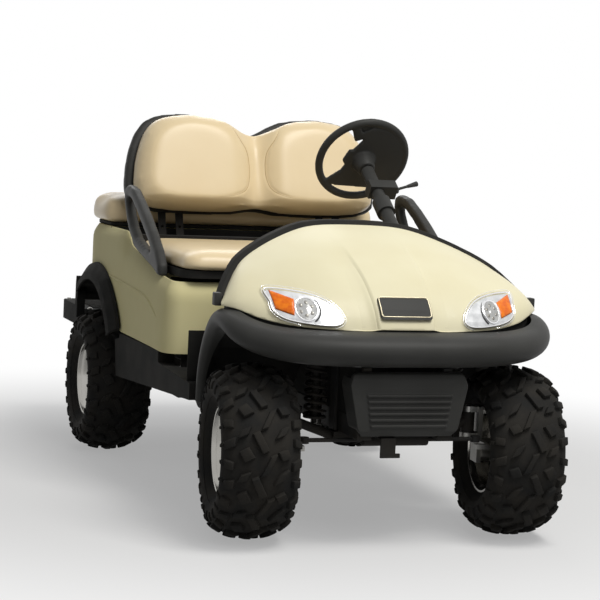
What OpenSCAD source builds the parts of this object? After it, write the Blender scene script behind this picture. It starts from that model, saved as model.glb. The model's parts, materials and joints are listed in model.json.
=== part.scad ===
// Electric utility cart with a lifted chassis, two facing-apart seats and a rear foot step.
// Millimetres. Front faces minus Y, Z is up, the cart's left is plus X, the ground is Z = 0.

/* [Overall] */
// Length over the parked front tyres and the rear step
overall_length = 2742.9; // [2600:0.1:2900]
// Distance between the axles
wheelbase = 1660; // [1600:5:1720]
// How far the parked front tyres reach ahead of the front axle
front_overhang = 292.9; // [285:0.1:320]
// Width over the moulded body sides
body_width = 1130; // [1100:2:1160]
// Gap between fixed pieces that are fastened together
seat_gap = 0.3; // [0.2:0.05:0.5]
// Gap around a turning shaft, on the radius
run_gap = 0.05; // [0.02:0.01:0.08]
// Gap left around moving pieces
move_gap = 6; // [5:0.5:10]

/* [Wheels] */
// Diameter over the tyre lugs
tyre_d = 559; // [540:1:570]
// Width of a tyre
tyre_w = 265; // [240:1:280]
// Diameter of the rim flange
rim_d = 284; // [276:1:292]
// Width of a rim
rim_w = 186; // [160:1:200]
// Distance between the front tyre centres
front_track = 886; // [870:2:900]
// Distance between the rear tyre centres
rear_track = 1040; // [1020:2:1060]
// Radius of the wheel shafts
shaft_r = 15; // [12:0.5:18]
// Angle at which the front wheels are parked, to the right when negative
steer_park = -6; // [-10:0.5:10]

/* [Nose] */
// Height of the cowl's top over the ground
cowl_top = 986; // [970:1:1000]
// Thickness of the moulded shells
wall = 5; // [4:0.5:8]
// Width of the dash trim that stands over the cowl's edge
trim_rise = 14; // [8:1:20]
// Depth of the dash trim from front to back
trim_depth = 46; // [30:1:60]
// Width of the blank front plate
plate_w = 172; // [150:1:190]
// Height of the blank front plate
plate_h = 62; // [50:1:75]

/* [Seat] */
// Width of the front seat cushion
seat_w = 1024; // [980:2:1034]
// Height of the front seat cushion's top
seat_top = 870; // [850:1:890]
// Height of the seat pan's underside
pan_z = 764; // [760:1:770]
// Thickness of the seat pan
pan_t = 34; // [28:1:40]
// Width of the backrest cushion
back_w = 990; // [950:2:1020]
// Recline of the backrest from upright
back_tilt = 19; // [12:1:24]
// Thickness of the backrest cushion
back_t = 95; // [80:1:120]
// Thickness of the backrest shell
shell_t = 52; // [40:1:70]
// Width of the rear seat cushion
rear_seat_w = 1124; // [1080:2:1140]

/* [Steering] */
// How far the steering column stands to the left
column_x = 235; // [225:1:250]
// Slope of the column over the horizontal
column_tilt = 34; // [30:1:40]
// Diameter of the steering wheel
wheel_d = 356; // [330:1:370]
// Diameter of the column tube
column_d = 48; // [40:1:54]

/* [Rear step] */
// Width of the step
step_w = 1102; // [1060:2:1130]
// Height of the step's top
step_top = 523; // [510:1:540]
// Height of the step's skirt
step_skirt = 82; // [60:1:100]

/* [Chassis] */
// Distance from the centre line to a rail's middle
rail_x = 135; // [130:1:140]
// Width of a rail
rail_w = 50; // [40:1:56]
// Height of a rail
rail_h = 70; // [60:1:80]
// Height of the rails' underside
rail_z = 345; // [340:1:355]
// Distance from the centre line to a kingpin
kingpin_x = 300; // [295:1:310]
// Radius of a kingpin
kingpin_r = 12; // [10:0.5:14]

/* [Hidden] */
$fn = 64;
bw = body_width / 2;
yf = front_overhang - overall_length / 2;
yr = yf + wheelbase;
y_back = overall_length / 2;
axle_z = tyre_d / 2;
rail_top = rail_z + rail_h;

// Helpers

function unit3(v) = v / norm(v);
function cat_row(a, b, c, d, t) =
    0.5 * (2 * b + (c - a) * t + (2 * a - 5 * b + 4 * c - d) * t * t
    + (3 * b - a - 3 * c + d) * t * t * t);
// A smooth walk through the rows of a table, s from 0 to its last index
function walk(rows, s) =
    let (n = len(rows) - 1, i = min(floor(s), n - 1), t = s - i)
    cat_row(rows[max(i - 1, 0)], rows[i], rows[i + 1], rows[min(i + 2, n)], t);
// The same for half tables that are mirrored at their first row
function mirror_row(r, signs) = [for (k = [0:len(r) - 1]) r[k] * signs[k]];
function both_sides(rows, signs) = concat(
    [for (i = [len(rows) - 1:-1:1]) mirror_row(rows[i], signs)], rows);

// Skin between rings of equal length, closed at both ends
module loft(rings) {
    n = len(rings[0]);
    m = len(rings);
    pts = [for (r = rings) each r];
    side = [for (i = [0:m - 2], j = [0:n - 1])
        each [[i * n + j, i * n + (j + 1) % n, (i + 1) * n + (j + 1) % n],
              [i * n + j, (i + 1) * n + (j + 1) % n, (i + 1) * n + j]]];
    k = (m - 1) * n;
    ends = [for (j = [0:n / 2 - 2])
        each [[n - 1 - j, n - 2 - j, j + 1], [n - 1 - j, j + 1, j],
              [k + j, k + j + 1, k + n - 2 - j], [k + j, k + n - 2 - j, k + n - 1 - j]]];
    polyhedron(pts, concat(side, ends), convexity = 10);
}

// Skin between rings that run round to the first one again
module ring_loft(rings) {
    n = len(rings[0]);
    m = len(rings);
    pts = [for (r = rings) each r];
    side = [for (i = [0:m - 1], j = [0:n - 1])
        let (k = (i + 1) % m)
        each [[i * n + j, i * n + (j + 1) % n, k * n + (j + 1) % n],
              [i * n + j, k * n + (j + 1) % n, k * n + j]]];
    polyhedron(pts, side, convexity = 10);
}

// A sheet between two grids of points of the same shape
module sheet(outer, inner) {
    rings = [for (i = [0:len(outer) - 1])
        concat(outer[i], [for (j = [len(inner[i]) - 1:-1:0]) inner[i][j]])];
    loft(rings);
}

module both() {
    children();
    mirror([1, 0, 0]) children();
}

// A side profile given as y and z, spread from x0 to x1
module side_plate(x0, x1, pts) {
    translate([x0, 0, 0]) rotate([90, 0, 90]) linear_extrude(x1 - x0) polygon(pts);
}

module rod(a, b, r) {
    d = b - a;
    translate(a) rotate([0, acos(d[2] / norm(d)), atan2(d[1], d[0])]) cylinder(r = r, h = norm(d));
}

module round_rect(w, h, r) {
    square([w - 2 * r, h], center = true);
    square([w, h - 2 * r], center = true);
    for (i = [-1, 1], j = [-1, 1]) translate([i * (w / 2 - r), j * (h / 2 - r)]) circle(r);
}

// Nose

// Columns: arch x, arch z, front edge x, front edge y behind the axle, front edge z
COWL = [
    [0, cowl_top, 0, -175, 682],
    [120, cowl_top - 3, 104, -172, 682],
    [205, cowl_top - 16, 185, -164, 682.5],
    [300, cowl_top - 50, 270, -146, 685],
    [362, cowl_top - 78, 355, -112, 690],
    [412, cowl_top - 105, 440, -62, 704],
    [455, cowl_top - 137, 500, -10, 727],
    [505, cowl_top - 197, 527, 24, 733],
    [529, cowl_top - 234, 541, 47, 734]
];
cowl_rows = both_sides(COWL, [-1, 1, -1, 1, 1]);
arch_lean = 1.14;
function arch_y(z) = yf + 54 + (z - cowl_top + 251) * arch_lean;
cowl_nu = 12;
panel_rise = 9;
// Places along the table where the cowl has sections, and the rows between which its raised panel steps down
cowl_half = [0, 0.35, 0.7, 0.95, 1.08, 1.5, 2, 2.5, 3, 3.5, 4, 4.5, 5, 5.5, 6, 6.5, 7, 7.5, 8];
panel_edge = [0.95, 1.08];
cowl_s = let (m = len(COWL) - 1)
    concat([for (i = [len(cowl_half) - 1:-1:1]) m - cowl_half[i]], [for (k = cowl_half) m + k]);
function rise(s, u) =
    let (d = abs(s - len(COWL) + 1), k = (panel_edge[1] - d) / (panel_edge[1] - panel_edge[0]))
    panel_rise * max(0, min(1, k)) * (1 - u);
function cowl_point(s, u) =
    let (r = walk(cowl_rows, s),
         f = [r[2], yf + r[3], r[4]],
         a = [r[0], arch_y(r[1]), r[1]],
         m = [max(abs(r[0]), abs(r[2])) * sign(r[0]) * 1.01,
              f[1] + 0.12 * (a[1] - f[1]), f[2] + 0.586 * (a[2] - f[2])],
         p = (1 - u) * (1 - u) * f + 2 * u * (1 - u) * m + u * u * a)
    p + [0, -0.8, 0.6] * rise(s, u);
function cowl_normal(s, u) =
    let (n = len(cowl_rows) - 1, e = 0.02,
         du = cowl_point(s, min(u + e, 1)) - cowl_point(s, max(u - e, 0)),
         ds = cowl_point(min(s + e, n), u) - cowl_point(max(s - e, 0), u))
    unit3(cross(ds, du));
// Moves a point of the cowl's last row along the surface until it lies in the arch's plane
function to_arch(p, t) = p - t * (p[1] - arch_y(p[2])) / (t[1] - arch_lean * t[2]);
function cowl_grid(out) = [for (s = cowl_s)
    [for (j = [0:cowl_nu])
        let (u = j / cowl_nu, p = cowl_point(s, u) + out * cowl_normal(s, u))
        u < 1 ? p : to_arch(p, unit3(cowl_point(s, 1) - cowl_point(s, 0.98)))]];

module front_cowl() {
    color("BurlyWood") sheet(cowl_grid(0), cowl_grid(-wall));
}

// Columns: lamp outline x and z, as seen from the front, on the right side
LAMP = [
    [-204, 714], [-224, 746], [-258, 770], [-304, 784], [-364, 791], [-412, 791], [-420, 781],
    [-410, 756], [-406, 732], [-382, 713], [-340, 702], [-270, 695], [-222, 697]
];
lamp_outline = [for (i = [0:len(LAMP) - 1], t = [0, 0.34, 0.67])
    let (n = len(LAMP))
    cat_row(LAMP[(i + n - 1) % n], LAMP[i], LAMP[(i + 1) % n], LAMP[(i + 2) % n], t)];
module lamp_prism(y0, y1) {
    translate([0, y1, 0]) rotate([90, 0, 0]) linear_extrude(y1 - y0) polygon(lamp_outline);
}
// A skin that lies on the cowl
module front_skin(out0, out1) {
    sheet(cowl_grid(out0), cowl_grid(out1));
}
lamp_split = -345;
lamp_rise = 7;
module head_lamps() {
    color("Silver") intersection() {
        front_skin(lamp_rise, seat_gap);
        both() difference() {
            lamp_prism(yf - 260, yf + 180);
            translate([lamp_split - 300, yf - 300, 600]) cube([300, 600, 300]);
        }
    }
}
module turn_lenses() {
    color("Orange") intersection() {
        front_skin(lamp_rise, seat_gap);
        both() intersection() {
            lamp_prism(yf - 260, yf + 180);
            translate([lamp_split - 300 - seat_gap, yf - 300, 600]) cube([300, 600, 300]);
        }
    }
}

plate_z = 751;
module front_plate() {
    color("Black") intersection() {
        front_skin(8, seat_gap);
        translate([0, yf, plate_z]) rotate([90, 0, 0]) linear_extrude(300)
            round_rect(plate_w, plate_h, 10);
    }
}

// Columns: x, y behind the axle, z, half height, reach outward, depth inward, plan angle
BUMPER = [
    [0, -262, 627, 55, 28, 82, 0],
    [210, -254, 627, 55, 28, 80, 9],
    [380, -208, 631, 53, 27, 74, 32],
    [478, -136, 644, 49, 25, 58, 58],
    [524, -60, 667, 44, 24, 44, 78],
    [536, 20, 691, 37, 24, 36, 90],
    [536, 100, 685, 37, 22, 34, 90],
    [536, 172, 640, 34, 18, 28, 90],
    [538, 230, 568, 28, 14, 20, 90],
    [539, 262, 482, 21, 12, 14, 90],
    [539, 270, 398, 18, 11, 12, 90]
];
bumper_rows = both_sides(BUMPER, [-1, 1, 1, 1, 1, 1, -1]);
bumper_n = 44;
function bumper_at(s) = let (r = walk(bumper_rows, s)) [r[0], yf + r[1], r[2]];
function bumper_ring(s) =
    let (n = len(bumper_rows) - 1, e = 0.02, r = walk(bumper_rows, s), p = bumper_at(s),
         t = unit3(bumper_at(min(s + e, n)) - bumper_at(max(s - e, 0))),
         o = [sin(r[6]), -cos(r[6]), 0],
         b = unit3(cross(t, o)) * -1,
         steps = 8)
    concat(
        [for (k = [0:steps]) let (q = 90 - 180 * k / steps)
            p + o * ((r[4] + r[5]) * pow(max(cos(q), 0), 0.7) - r[5]) + b * r[3] * sin(q)],
        [for (k = [steps:-1:0]) let (q = 90 - 180 * k / steps)
            p + o * ((r[4] + r[5] - wall) * pow(max(cos(q), 0), 0.7) - r[5])
            + b * (r[3] - wall) * sin(q)]);
module front_bumper() {
    color("DimGray")
        loft([for (i = [bumper_n:-1:0]) bumper_ring(i * (len(bumper_rows) - 1) / bumper_n)]);
}

cover_top = 562;
cover_bottom = 360;
cover_front = yf - 224;
cover_mount = yf - 200 - seat_gap;
cover_back = yf - 136;
// Half outline of the cover as seen from the front, x and z
COVER = [[150, cover_bottom], [168, cover_bottom + 24], [196, cover_top - 44], [186, cover_top - 12],
         [170, cover_top]];
function cover_outline(inset) = let (h = [for (p = COVER) [p[0] - inset, p[1]]])
    concat(h, [for (i = [len(h) - 1:-1:0]) [-h[i][0], h[i][1]]]);
module cover_prism(y0, y1, inset) {
    translate([0, y1, 0]) rotate([90, 0, 0]) linear_extrude(y1 - y0) polygon(cover_outline(inset));
}
module front_cover() {
    ribs = 6;
    color("DimGray") {
        difference() {
            intersection() {
                cover_prism(cover_front - 1, cover_back, 0);
                side_plate(-200, 200, [[cover_back, cover_bottom], [cover_front + 12, cover_bottom],
                    [cover_front, cover_bottom + 16], [cover_front, cover_top - 48],
                    [cover_front + 4, cover_top - 26], [cover_front + 12, cover_top - 8],
                    [cover_front + 24, cover_top], [cover_back, cover_top]]);
            }
            translate([0, 0, -20]) cover_prism(cover_mount, cover_back + 1, 7);
            translate([0, 0, 20]) cover_prism(cover_mount, cover_back + 1, 7);
        }
        for (i = [0:ribs - 1])
            translate([-142 + 3 * i, cover_front - 8, 484 - 19 * i]) cube([284 - 6 * i, 9, 8]);
    }
}

// Dash

// The back of the dash leans a little
function dash_y(z) = yf + 330 + (z - 640) * 0.2;
dash_n = 36;
// Closed ring of the arch: out grows it, back sets it behind the arch's plane
function arch_ring(out, back) = concat(
    [for (i = [0:dash_n])
        let (s = i * (len(cowl_rows) - 1) / dash_n, r = walk(cowl_rows, s), e = 0.05,
             q = walk(cowl_rows, min(s + e, len(cowl_rows) - 1)) - walk(cowl_rows, max(s - e, 0)),
             t = [q[0], q[1]] / norm([q[0], q[1]]),
             x = r[0] - t[1] * out, z = r[1] + t[0] * out)
        [x, arch_y(z) + back, z]],
    [for (k = [3:-1:-3]) [k * 120, arch_y(720) + back, 720]]);
function dash_ring(k, z0, z1) = [for (p = arch_ring(0, 0))
    let (z = z0 + (p[2] - 720) * (z1 - z0) / (cowl_top - 720))
    [p[0] * k, dash_y(z), z]];
module dash() {
    color("DimGray") difference() {
        loft([for (r = [arch_ring(trim_rise, 2 * seat_gap), arch_ring(trim_rise, trim_depth),
            arch_ring(-14, trim_depth + 8), dash_ring(0.80, 648, 962)])
            [for (i = [len(r) - 1:-1:0]) r[i]]]);
        for (x = [-230, 205])
            translate([x - 110, yf + 280, 676]) cube([220, 180, 92]);
        translate([-60, yf + 280, 700]) cube([110, 180, 190]);
    }
}

// Chassis

module rail(side) {
    x = side * rail_x;
    color("DarkSlateGray")
        translate([x - rail_w / 2, yf - 200, rail_z]) cube([rail_w, 2560, rail_h]);
}
module frame_rail_left() { rail(1); }
module frame_rail_right() { rail(-1); }

inner = rail_x - rail_w / 2 - seat_gap;
outer = rail_x + rail_w / 2 + seat_gap;
rocker_in = bw - 60;
module cross_members() {
    color("DarkSlateGray") {
        for (y = [yf - 190, yf + 470, yf + 950, yf + 1330, yf + 1990, yf + 2300])
            translate([-inner, y, rail_z + 8]) cube([2 * inner, 46, rail_h - 16]);
        both() {
            for (y = [yf + 470, yf + 1180])
                translate([outer, y, 394]) cube([rocker_in - outer - seat_gap, 46, 40]);
            for (y = [yf + 2040, yf + 2310])
                translate([rail_x - 20, y, rail_top + seat_gap])
                    cube([40, 40, step_top - 10 - rail_top - 2 * seat_gap]);
            // Brackets under the bumper's lower lip
            translate([rail_x - 15, yf - 198, rail_top + seat_gap])
                cube([30, 16, 571.7 - rail_top - seat_gap]);
            // Towers over the front springs
            translate([outer + 4 + seat_gap, yf - 30, rail_z + 4]) cube([8, 60, 230]);
            translate([outer + 4 + seat_gap, yf - 42, 566]) cube([286 - outer, 84, 8]);
            // Hangers of the rear springs
            translate([outer, yf + 1318, 372]) cube([245 - outer, 40, 38]);
            translate([outer, yf + 1962, 372]) cube([245 - outer, 40, 38]);
            // Posts of the rear dampers
            translate([outer, yr + 116, rail_z + 4]) cube([10, 50, 260]);
            translate([outer, yr + 116, 590]) cube([330 - outer, 50, 10]);
            // Uprights under the bar that carries the backrest
            translate([rail_x - 20, yf + 1454.5, rail_top + seat_gap]) cube([40, 36, 422]);
        }
        // Housing that the tie rod slides in
        translate([-inner, tie_y, tie_z]) rotate([0, 90, 0]) difference() {
            cylinder(r = 20, h = 2 * inner);
            translate([0, 0, -1]) cylinder(r = tie_r + run_gap, h = 2 * inner + 2);
        }
        translate([-520, yf + 1454.5, rail_top + 422 + 2 * seat_gap]) cube([1040, 36, 30]);
    }
}

floor_z = 446;
// The toe board leans forward and its top carries the dash
toe_top = 677.5;
function toe_y(z) = yf + 418 - (z - floor_z) * 0.8041;
module floor_pan() {
    color("DimGray") {
        translate([-rocker_in + 3, yf + 418, floor_z - 6]) cube([2 * rocker_in - 6, 226, 6]);
        // Kick panel under the seat's front
        translate([-rocker_in + 3, yf + 638, floor_z - 6]) cube([2 * rocker_in - 6, 6, 68]);
        // Toe board
        side_plate(-rocker_in + 3, rocker_in - 3, [
            [yf + 424, floor_z - 6], [yf + 424, floor_z], [yf + 418, floor_z],
            [toe_y(toe_top), toe_top], [toe_y(toe_top) - 6, toe_top], [yf + 412, floor_z - 6]]);
        // Sides of the nose box between the front wheels
        both() side_plate(outer, outer + 4, [[yf - 160, rail_top + 2], [yf + 424, rail_top + 2],
            [yf + 410, floor_z], [yf + 260, 637], [yf - 160, 637]]);
        translate([-inner, yf + 470, rail_top - 8 + seat_gap]) cube([2 * inner, 46, floor_z + 4 - rail_top]);
    }
}

module wheel_liners() {
    r = 388;
    color("DimGray") both() translate([outer + 4 + seat_gap, yf, axle_z]) rotate([90, 0, 90])
        intersection() {
            difference() {
                cylinder(r = r, h = 494 - outer);
                translate([0, 0, -1]) cylinder(r = r - 4, h = 560 - outer);
            }
            linear_extrude(600) polygon([[-126, 300], [-126, 460], [250, 460], [244, 299]]);
        }
}

module rockers() {
    color("DimGray") both() {
        side_plate(rocker_in, bw, [[yf + 292, 398], [yf + 1336, 336], [yf + 1352, 400], [yf + 1372, 470],
            [yf + 1302, 484], [yf + 1296, 502], [yf + 715, 508], [yf + 712, 468], [yf + 292, 453]]);
        side_plate(440, rocker_in + 1, [[yf + 430, floor_z + seat_gap], [yf + 612, floor_z + seat_gap],
            [yf + 612, 464], [yf + 430, 458]]);
    }
}

strap_x = -82;
strap_y = yf - 208;
module tow_strap() {
    top = rail_z + 8 - seat_gap;
    color("DarkSlateGray") {
        translate([strap_x, strap_y, 290]) cube([50, 8, top - 290]);
        translate([strap_x, strap_y, 290]) cube([66, 8, 14]);
        translate([strap_x, strap_y, top - 8]) cube([50, 58, 8]);
    }
}

// Body

// Half plan of the rear body, columns: x, y behind the front axle, outward angle, top z, bottom z
rear_end = 1960;
arch_r = 420;
function arch_bottom(y, low) =
    let (d = y - wheelbase)
    abs(d) < arch_r ? max(low, axle_z + sqrt(arch_r * arch_r - d * d)) : low;
function body_low(y) = y > 1240 ? arch_bottom(y, 508) : 508 + seat_gap + 0.4;
function body_high(y) =
    y < 780 ? 757 + (y - 612) * 0.042
    : y < 1245 ? 764 + (y - 780) * 0.155
    : min(888, 836 + (y - 1245) * 0.91);
front_r = 56;
rear_r = 160;
corner_n = 8;
function corner(cx, cy, r, a0, a1) = [for (i = [0:corner_n])
    let (a = a0 + (a1 - a0) * i / corner_n) [cx + r * sin(a), cy - r * cos(a), a]];
function plan_half() = concat(
    [for (x = [0, 150, 300, 420]) [x, 612, 0]],
    corner(bw - front_r, 612 + front_r, front_r, 0, 90),
    [for (y = [780, 860, 940, 1040, 1140, 1240]) [bw, y, 90]],
    [for (a = [72:-8:-22]) [bw, wheelbase - arch_r * sin(a), 90]],
    corner(bw - rear_r, rear_end - rear_r, rear_r, 98, 180),
    [for (x = [350, 200, 80]) [x, rear_end, 180]]);
plan_points = let (h = plan_half())
    concat(h, [for (i = [len(h) - 1:-1:1]) [-h[i][0], h[i][1], -h[i][2]]]);
body_steps = 7;
function shoulder(z, high) = let (d = max(0, z - high + 34) / 34) 34 * (1 - sqrt(max(0, 1 - d * d * 0.9)));
function crease_z(y) = y < 914 ? 608 + (y - 789) * 0.464 : 666 + (y - 914) * 0.0614;
function body_bulge(y, z, a) =
    abs(a) == 90 ? 7 * max(0, 1 - abs(z - crease_z(y)) / 120) : 0;
function body_ring(p) =
    let (low = body_low(p[1]), high = body_high(p[1]), o = [sin(p[2]), -cos(p[2]), 0],
         base = [p[0], yf + p[1], 0])
    concat(
        [for (k = [0:body_steps]) let (z = low + (high - low) * k / body_steps)
            base + [0, 0, z] - o * (shoulder(z, high) - body_bulge(p[1], z, p[2]))],
        [for (k = [body_steps:-1:0]) let (z = low + (high - low) * k / body_steps)
            base + [0, 0, z] - o * (shoulder(z, high) - body_bulge(p[1], z, p[2]) + wall)]);
module rear_body() {
    color("BurlyWood") ring_loft([for (p = plan_points) body_ring(p)]);
}

// Flare section beside the body, radius from the axle and x
flare_lip = [[arch_r - 8, bw + 32], [arch_r - 4, bw + 7.4], [arch_r + 42, bw + 7.4], [arch_r + 38, bw + 20],
             [arch_r + 4, bw + 42], [arch_r - 26, bw + 46], [arch_r - 28, bw + 38]];
// Lining of the wheel house under the body
house_in = bw - 185;
flare_lining = [[arch_r - 10, house_in], [arch_r - 4, house_in], [arch_r - 4, bw + 9],
                [arch_r - 9, bw + 33]];
module flare_arc(from, to, shape) {
    rotate([0, 0, from]) rotate_extrude(angle = to - from, $fn = 96) polygon(shape);
}
module rear_flares() {
    color("DimGray") both() {
        translate([0, yr, axle_z]) rotate([90, 0, 90]) {
            flare_arc(56, 148, flare_lip);
            flare_arc(44, 148, flare_lining);
        }
        // Tail that drops behind the wheel
        side_plate(bw + 8.4, bw + 42, [[yr + 214, 612], [yr + 250, 666], [yr + 256, 640], [yr + 258, 560],
            [yr + 250, 500], [yr + 222, 500], [yr + 224, 560]]);
    }
}

// Seats

hinge_y = yf + 600;
hinge_z = pan_z + 6;
hinge_r = 5;
hinge_x = [-330, 330];
module seat_hinges() {
    color("Gray") for (x = hinge_x) {
        translate([x - 30, hinge_y, hinge_z]) rotate([0, 90, 0]) cylinder(r = hinge_r, h = 60);
        for (s = [-1, 1])
            translate([x + s * 26 - 4, hinge_y - 7, 712]) cube([8, 19 - seat_gap, hinge_z + 7 - 712]);
        translate([x - 30, yf + 607, 706]) cube([60, 5 - seat_gap, 40]);
    }
}

seat_back = 1316;
module seat_pan() {
    color("DimGray") difference() {
        union() {
            translate([0, yf + (600 + seat_back) / 2 + 3, pan_z + move_gap])
                linear_extrude(pan_t - move_gap)
                    round_rect(seat_w + 4, seat_back - 600 - 6, 60);
            for (x = hinge_x)
                translate([x - 21, hinge_y, hinge_z]) rotate([0, 90, 0]) cylinder(r = 10, h = 42);
            for (x = hinge_x)
                translate([x - 21, hinge_y, hinge_z]) cube([42, 40, 10]);
        }
        for (x = hinge_x)
            translate([x - 40, hinge_y, hinge_z]) rotate([0, 90, 0])
                cylinder(r = hinge_r + run_gap, h = 80);
        for (x = hinge_x, s = [-1, 1])
            translate([x + s * 27 - 6, hinge_y - 30, pan_z - 10]) cube([12, 60, 40]);
    }
}

module seat_cushion() {
    color("BurlyWood")
        translate([0, yf + (590 + seat_back) / 2, pan_z + pan_t + seat_gap])
            linear_extrude(seat_top - pan_z - pan_t - seat_gap)
                round_rect(seat_w, seat_back - 590, 70);
}

back_y = yf + 1380;
back_z = 969;
// Half outline of the backrest, across from the middle and up, for a width of 980
BACK = [
    [0, 33], [45, 22], [88, 6], [165, 0], [255, -1], [345, 3], [420, 16], [464, 40], [484, 74],
    [490, 125], [484, 188], [468, 255], [445, 314], [412, 360], [370, 382], [320, 393], [255, 395],
    [190, 391], [125, 378], [80, 358], [40, 334], [0, 316]
];
back_half = [for (p = BACK) [p[0] * back_w / 980, p[1]]];
back_line = concat(back_half, [for (i = [len(back_half) - 2:-1:1]) [-back_half[i][0], back_half[i][1]]]);
// The outline grown by g on every side
module back_shape(g) {
    n = len(back_line);
    polygon([for (i = [0:n - 1])
        let (d = back_line[(i + 1) % n] - back_line[(i + n - 1) % n])
        back_line[i] + [d[1], -d[0]] / norm(d) * g]);
}
module back_place() {
    translate([0, back_y, back_z]) rotate([-back_tilt, 0, 0]) children();
}
module backrest_cushion() {
    color("BurlyWood") back_place() translate([0, back_t, 0]) rotate([90, 0, 0])
        linear_extrude(back_t) back_shape(0);
}
module backrest_shell() {
    color("DimGray") back_place() translate([0, back_t + shell_t + seat_gap, 0]) rotate([90, 0, 0])
        linear_extrude(shell_t) back_shape(12);
}

// Distances of the bars from the centre line
bar_x = [290, 360];
bar_off = back_t + shell_t + 2 * seat_gap;
module backrest_bars() {
    color("DarkSlateGray") back_place() for (s = [-1, 1], x = bar_x) difference() {
        translate([s * x - 15, bar_off, -92]) cube([30, 6, 290]);
        translate([s * x, bar_off - 5, -24]) rotate([-90, 0, 0]) cylinder(r = 5.5, h = 20);
    }
}

// Side outline of an armrest loop and of its opening, y behind the front axle and z
ARM_OUTER = [
    [766, 763.9], [768, 800], [820, 852], [908, 908], [1014, 966], [1114, 1014], [1200, 1050], [1284, 1062],
    [1318, 1048], [1326, 1012], [1302, 970], [1272, 930], [1224, 886], [1142, 838], [996, 808], [862, 784],
    [806, 768.4], [780, 764.4]
];
ARM_OPENING = [
    [880, 836], [935, 872], [1038, 927], [1134, 976], [1212, 1011], [1264, 1020], [1284, 1008], [1264, 980],
    [1238, 950], [1194, 912], [1124, 874], [985, 844]
];
arm_t = 34;
arm_x = max(bw - 3 - arm_t, seat_w / 2 + 2 + move_gap);
module armrests() {
    color("DimGray") both() translate([arm_x, yf, 0]) rotate([90, 0, 90]) linear_extrude(arm_t)
        difference() {
            polygon(ARM_OUTER);
            polygon(ARM_OPENING);
        }
}

rear_seat_y = 1758;
module rear_seat_base() {
    color("DimGray") translate([0, yf + rear_seat_y, 888 + seat_gap]) linear_extrude(14)
        round_rect(rear_seat_w - 60, 310, 60);
}
module rear_seat_cushion() {
    color("BurlyWood") translate([0, yf + rear_seat_y, 902 + 2 * seat_gap]) linear_extrude(111)
        round_rect(rear_seat_w, 330, 70);
}
module rear_step() {
    y0 = yf + rear_end + 6;
    color("DimGray") difference() {
        translate([0, (y0 + y_back) / 2, step_top - step_skirt]) linear_extrude(step_skirt)
            round_rect(step_w, y_back - y0, 40);
        translate([0, (y0 + y_back) / 2, step_top - step_skirt - 10]) linear_extrude(step_skirt)
            round_rect(step_w - 12, y_back - y0 - 12, 34);
    }
}
module tail_lamps() {
    color("Red") both() translate([380, yf + rear_end + seat_gap, 760]) rotate([-90, 0, 0])
        cylinder(r = 48, h = 18);
}
module battery_pack() {
    color("Gray") translate([-400, yf + 700, rail_top + 20 + seat_gap]) cube([800, 520, 290]);
    color("Gray") for (y = [yf + 760, yf + 1130], x = [-rail_x, rail_x])
        translate([x - 20, y, rail_top + seat_gap]) cube([40, 40, 21]);
}

// Running gear

eye_low = 338;
eye_high = 404;
module front_axle() {
    color("DarkSlateGray") difference() {
        union() {
            translate([-175, yf - 32, rail_z - 30 - seat_gap]) cube([350, 64, 30]);
            both() {
                rod([172, yf, rail_z - 16], [kingpin_x - 14, yf, (eye_low + eye_high) / 2], 15);
                translate([kingpin_x, yf, eye_low]) cylinder(r = 22, h = eye_high - eye_low);
            }
        }
        both() translate([kingpin_x, yf, eye_low - 5])
            cylinder(r = kingpin_r + run_gap, h = eye_high - eye_low + 10);
    }
}
module front_springs() {
    color("Gray") both() {
        translate([232, yf, 386]) cylinder(r = 38, h = 166);
        translate([232, yf, 370.6]) cylinder(r = 8, h = 16);
        translate([232, yf, 552]) cylinder(r = 30, h = 14 - seat_gap);
    }
}
module front_dampers() {
    color("Gray") both() {
        rod([196, yf + 86, 352], [196, yf + 86, 470], 17);
        rod([196, yf + 86, 470], [196, yf + 86, 600], 9);
        translate([outer + 4 + seat_gap, yf + 78, 588]) cube([34, 16, 16]);
        translate([outer + 4 + seat_gap, yf + 78, 420]) cube([34, 16, 16]);
    }
}

arm_tip = [-10, -115];
// Left knuckle with its kingpin on the Z axis
module knuckle() {
    ear = 18;
    low = eye_low - 1.5 - ear;
    high = eye_high + 1.5;
    for (z = [low, high]) {
        translate([0, 0, z]) cylinder(r = 24, h = ear);
        translate([0, -24, z]) cube([40, 48, ear]);
    }
    translate([26, -32, 240]) cube([16, 64, high + ear - 240]);
    translate([0, 0, low]) cylinder(r = kingpin_r, h = high + ear - low);
    translate([41, 0, axle_z]) rotate([0, 90, 0]) cylinder(r = 38, h = 62);
    translate([60, 0, axle_z]) rotate([0, 90, 0])
        cylinder(r = shaft_r, h = front_track / 2 - kingpin_x + 20 - 60);
    translate([28, arm_tip[1] - 5, 300]) cube([14, 100, 16]);
    translate([arm_tip[0], arm_tip[1] - 12, 300]) cube([54, 24, 16]);
}
module knuckle_left() {
    color("Gray") translate([kingpin_x, yf, 0]) rotate([0, 0, steer_park]) knuckle();
}
module knuckle_right() {
    color("Gray") translate([-kingpin_x, yf, 0]) rotate([0, 0, steer_park]) mirror([1, 0, 0]) knuckle();
}
// Where the arms end when the wheels are parked
function tip_x(side) = side * kingpin_x + side * arm_tip[0] * cos(steer_park) - arm_tip[1] * sin(steer_park);
tie_y = yf + arm_tip[1] * cos(steer_park);
tie_z = 333;
tie_r = 7;
module tie_rod() {
    a = [tip_x(-1), tie_y, tie_z];
    b = [tip_x(1), tie_y, tie_z];
    color("Gray") {
        rod(a, b, tie_r);
        for (p = [a, b]) translate(p) translate([0, 0, -10]) cylinder(r = 15, h = 20);
    }
}

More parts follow.
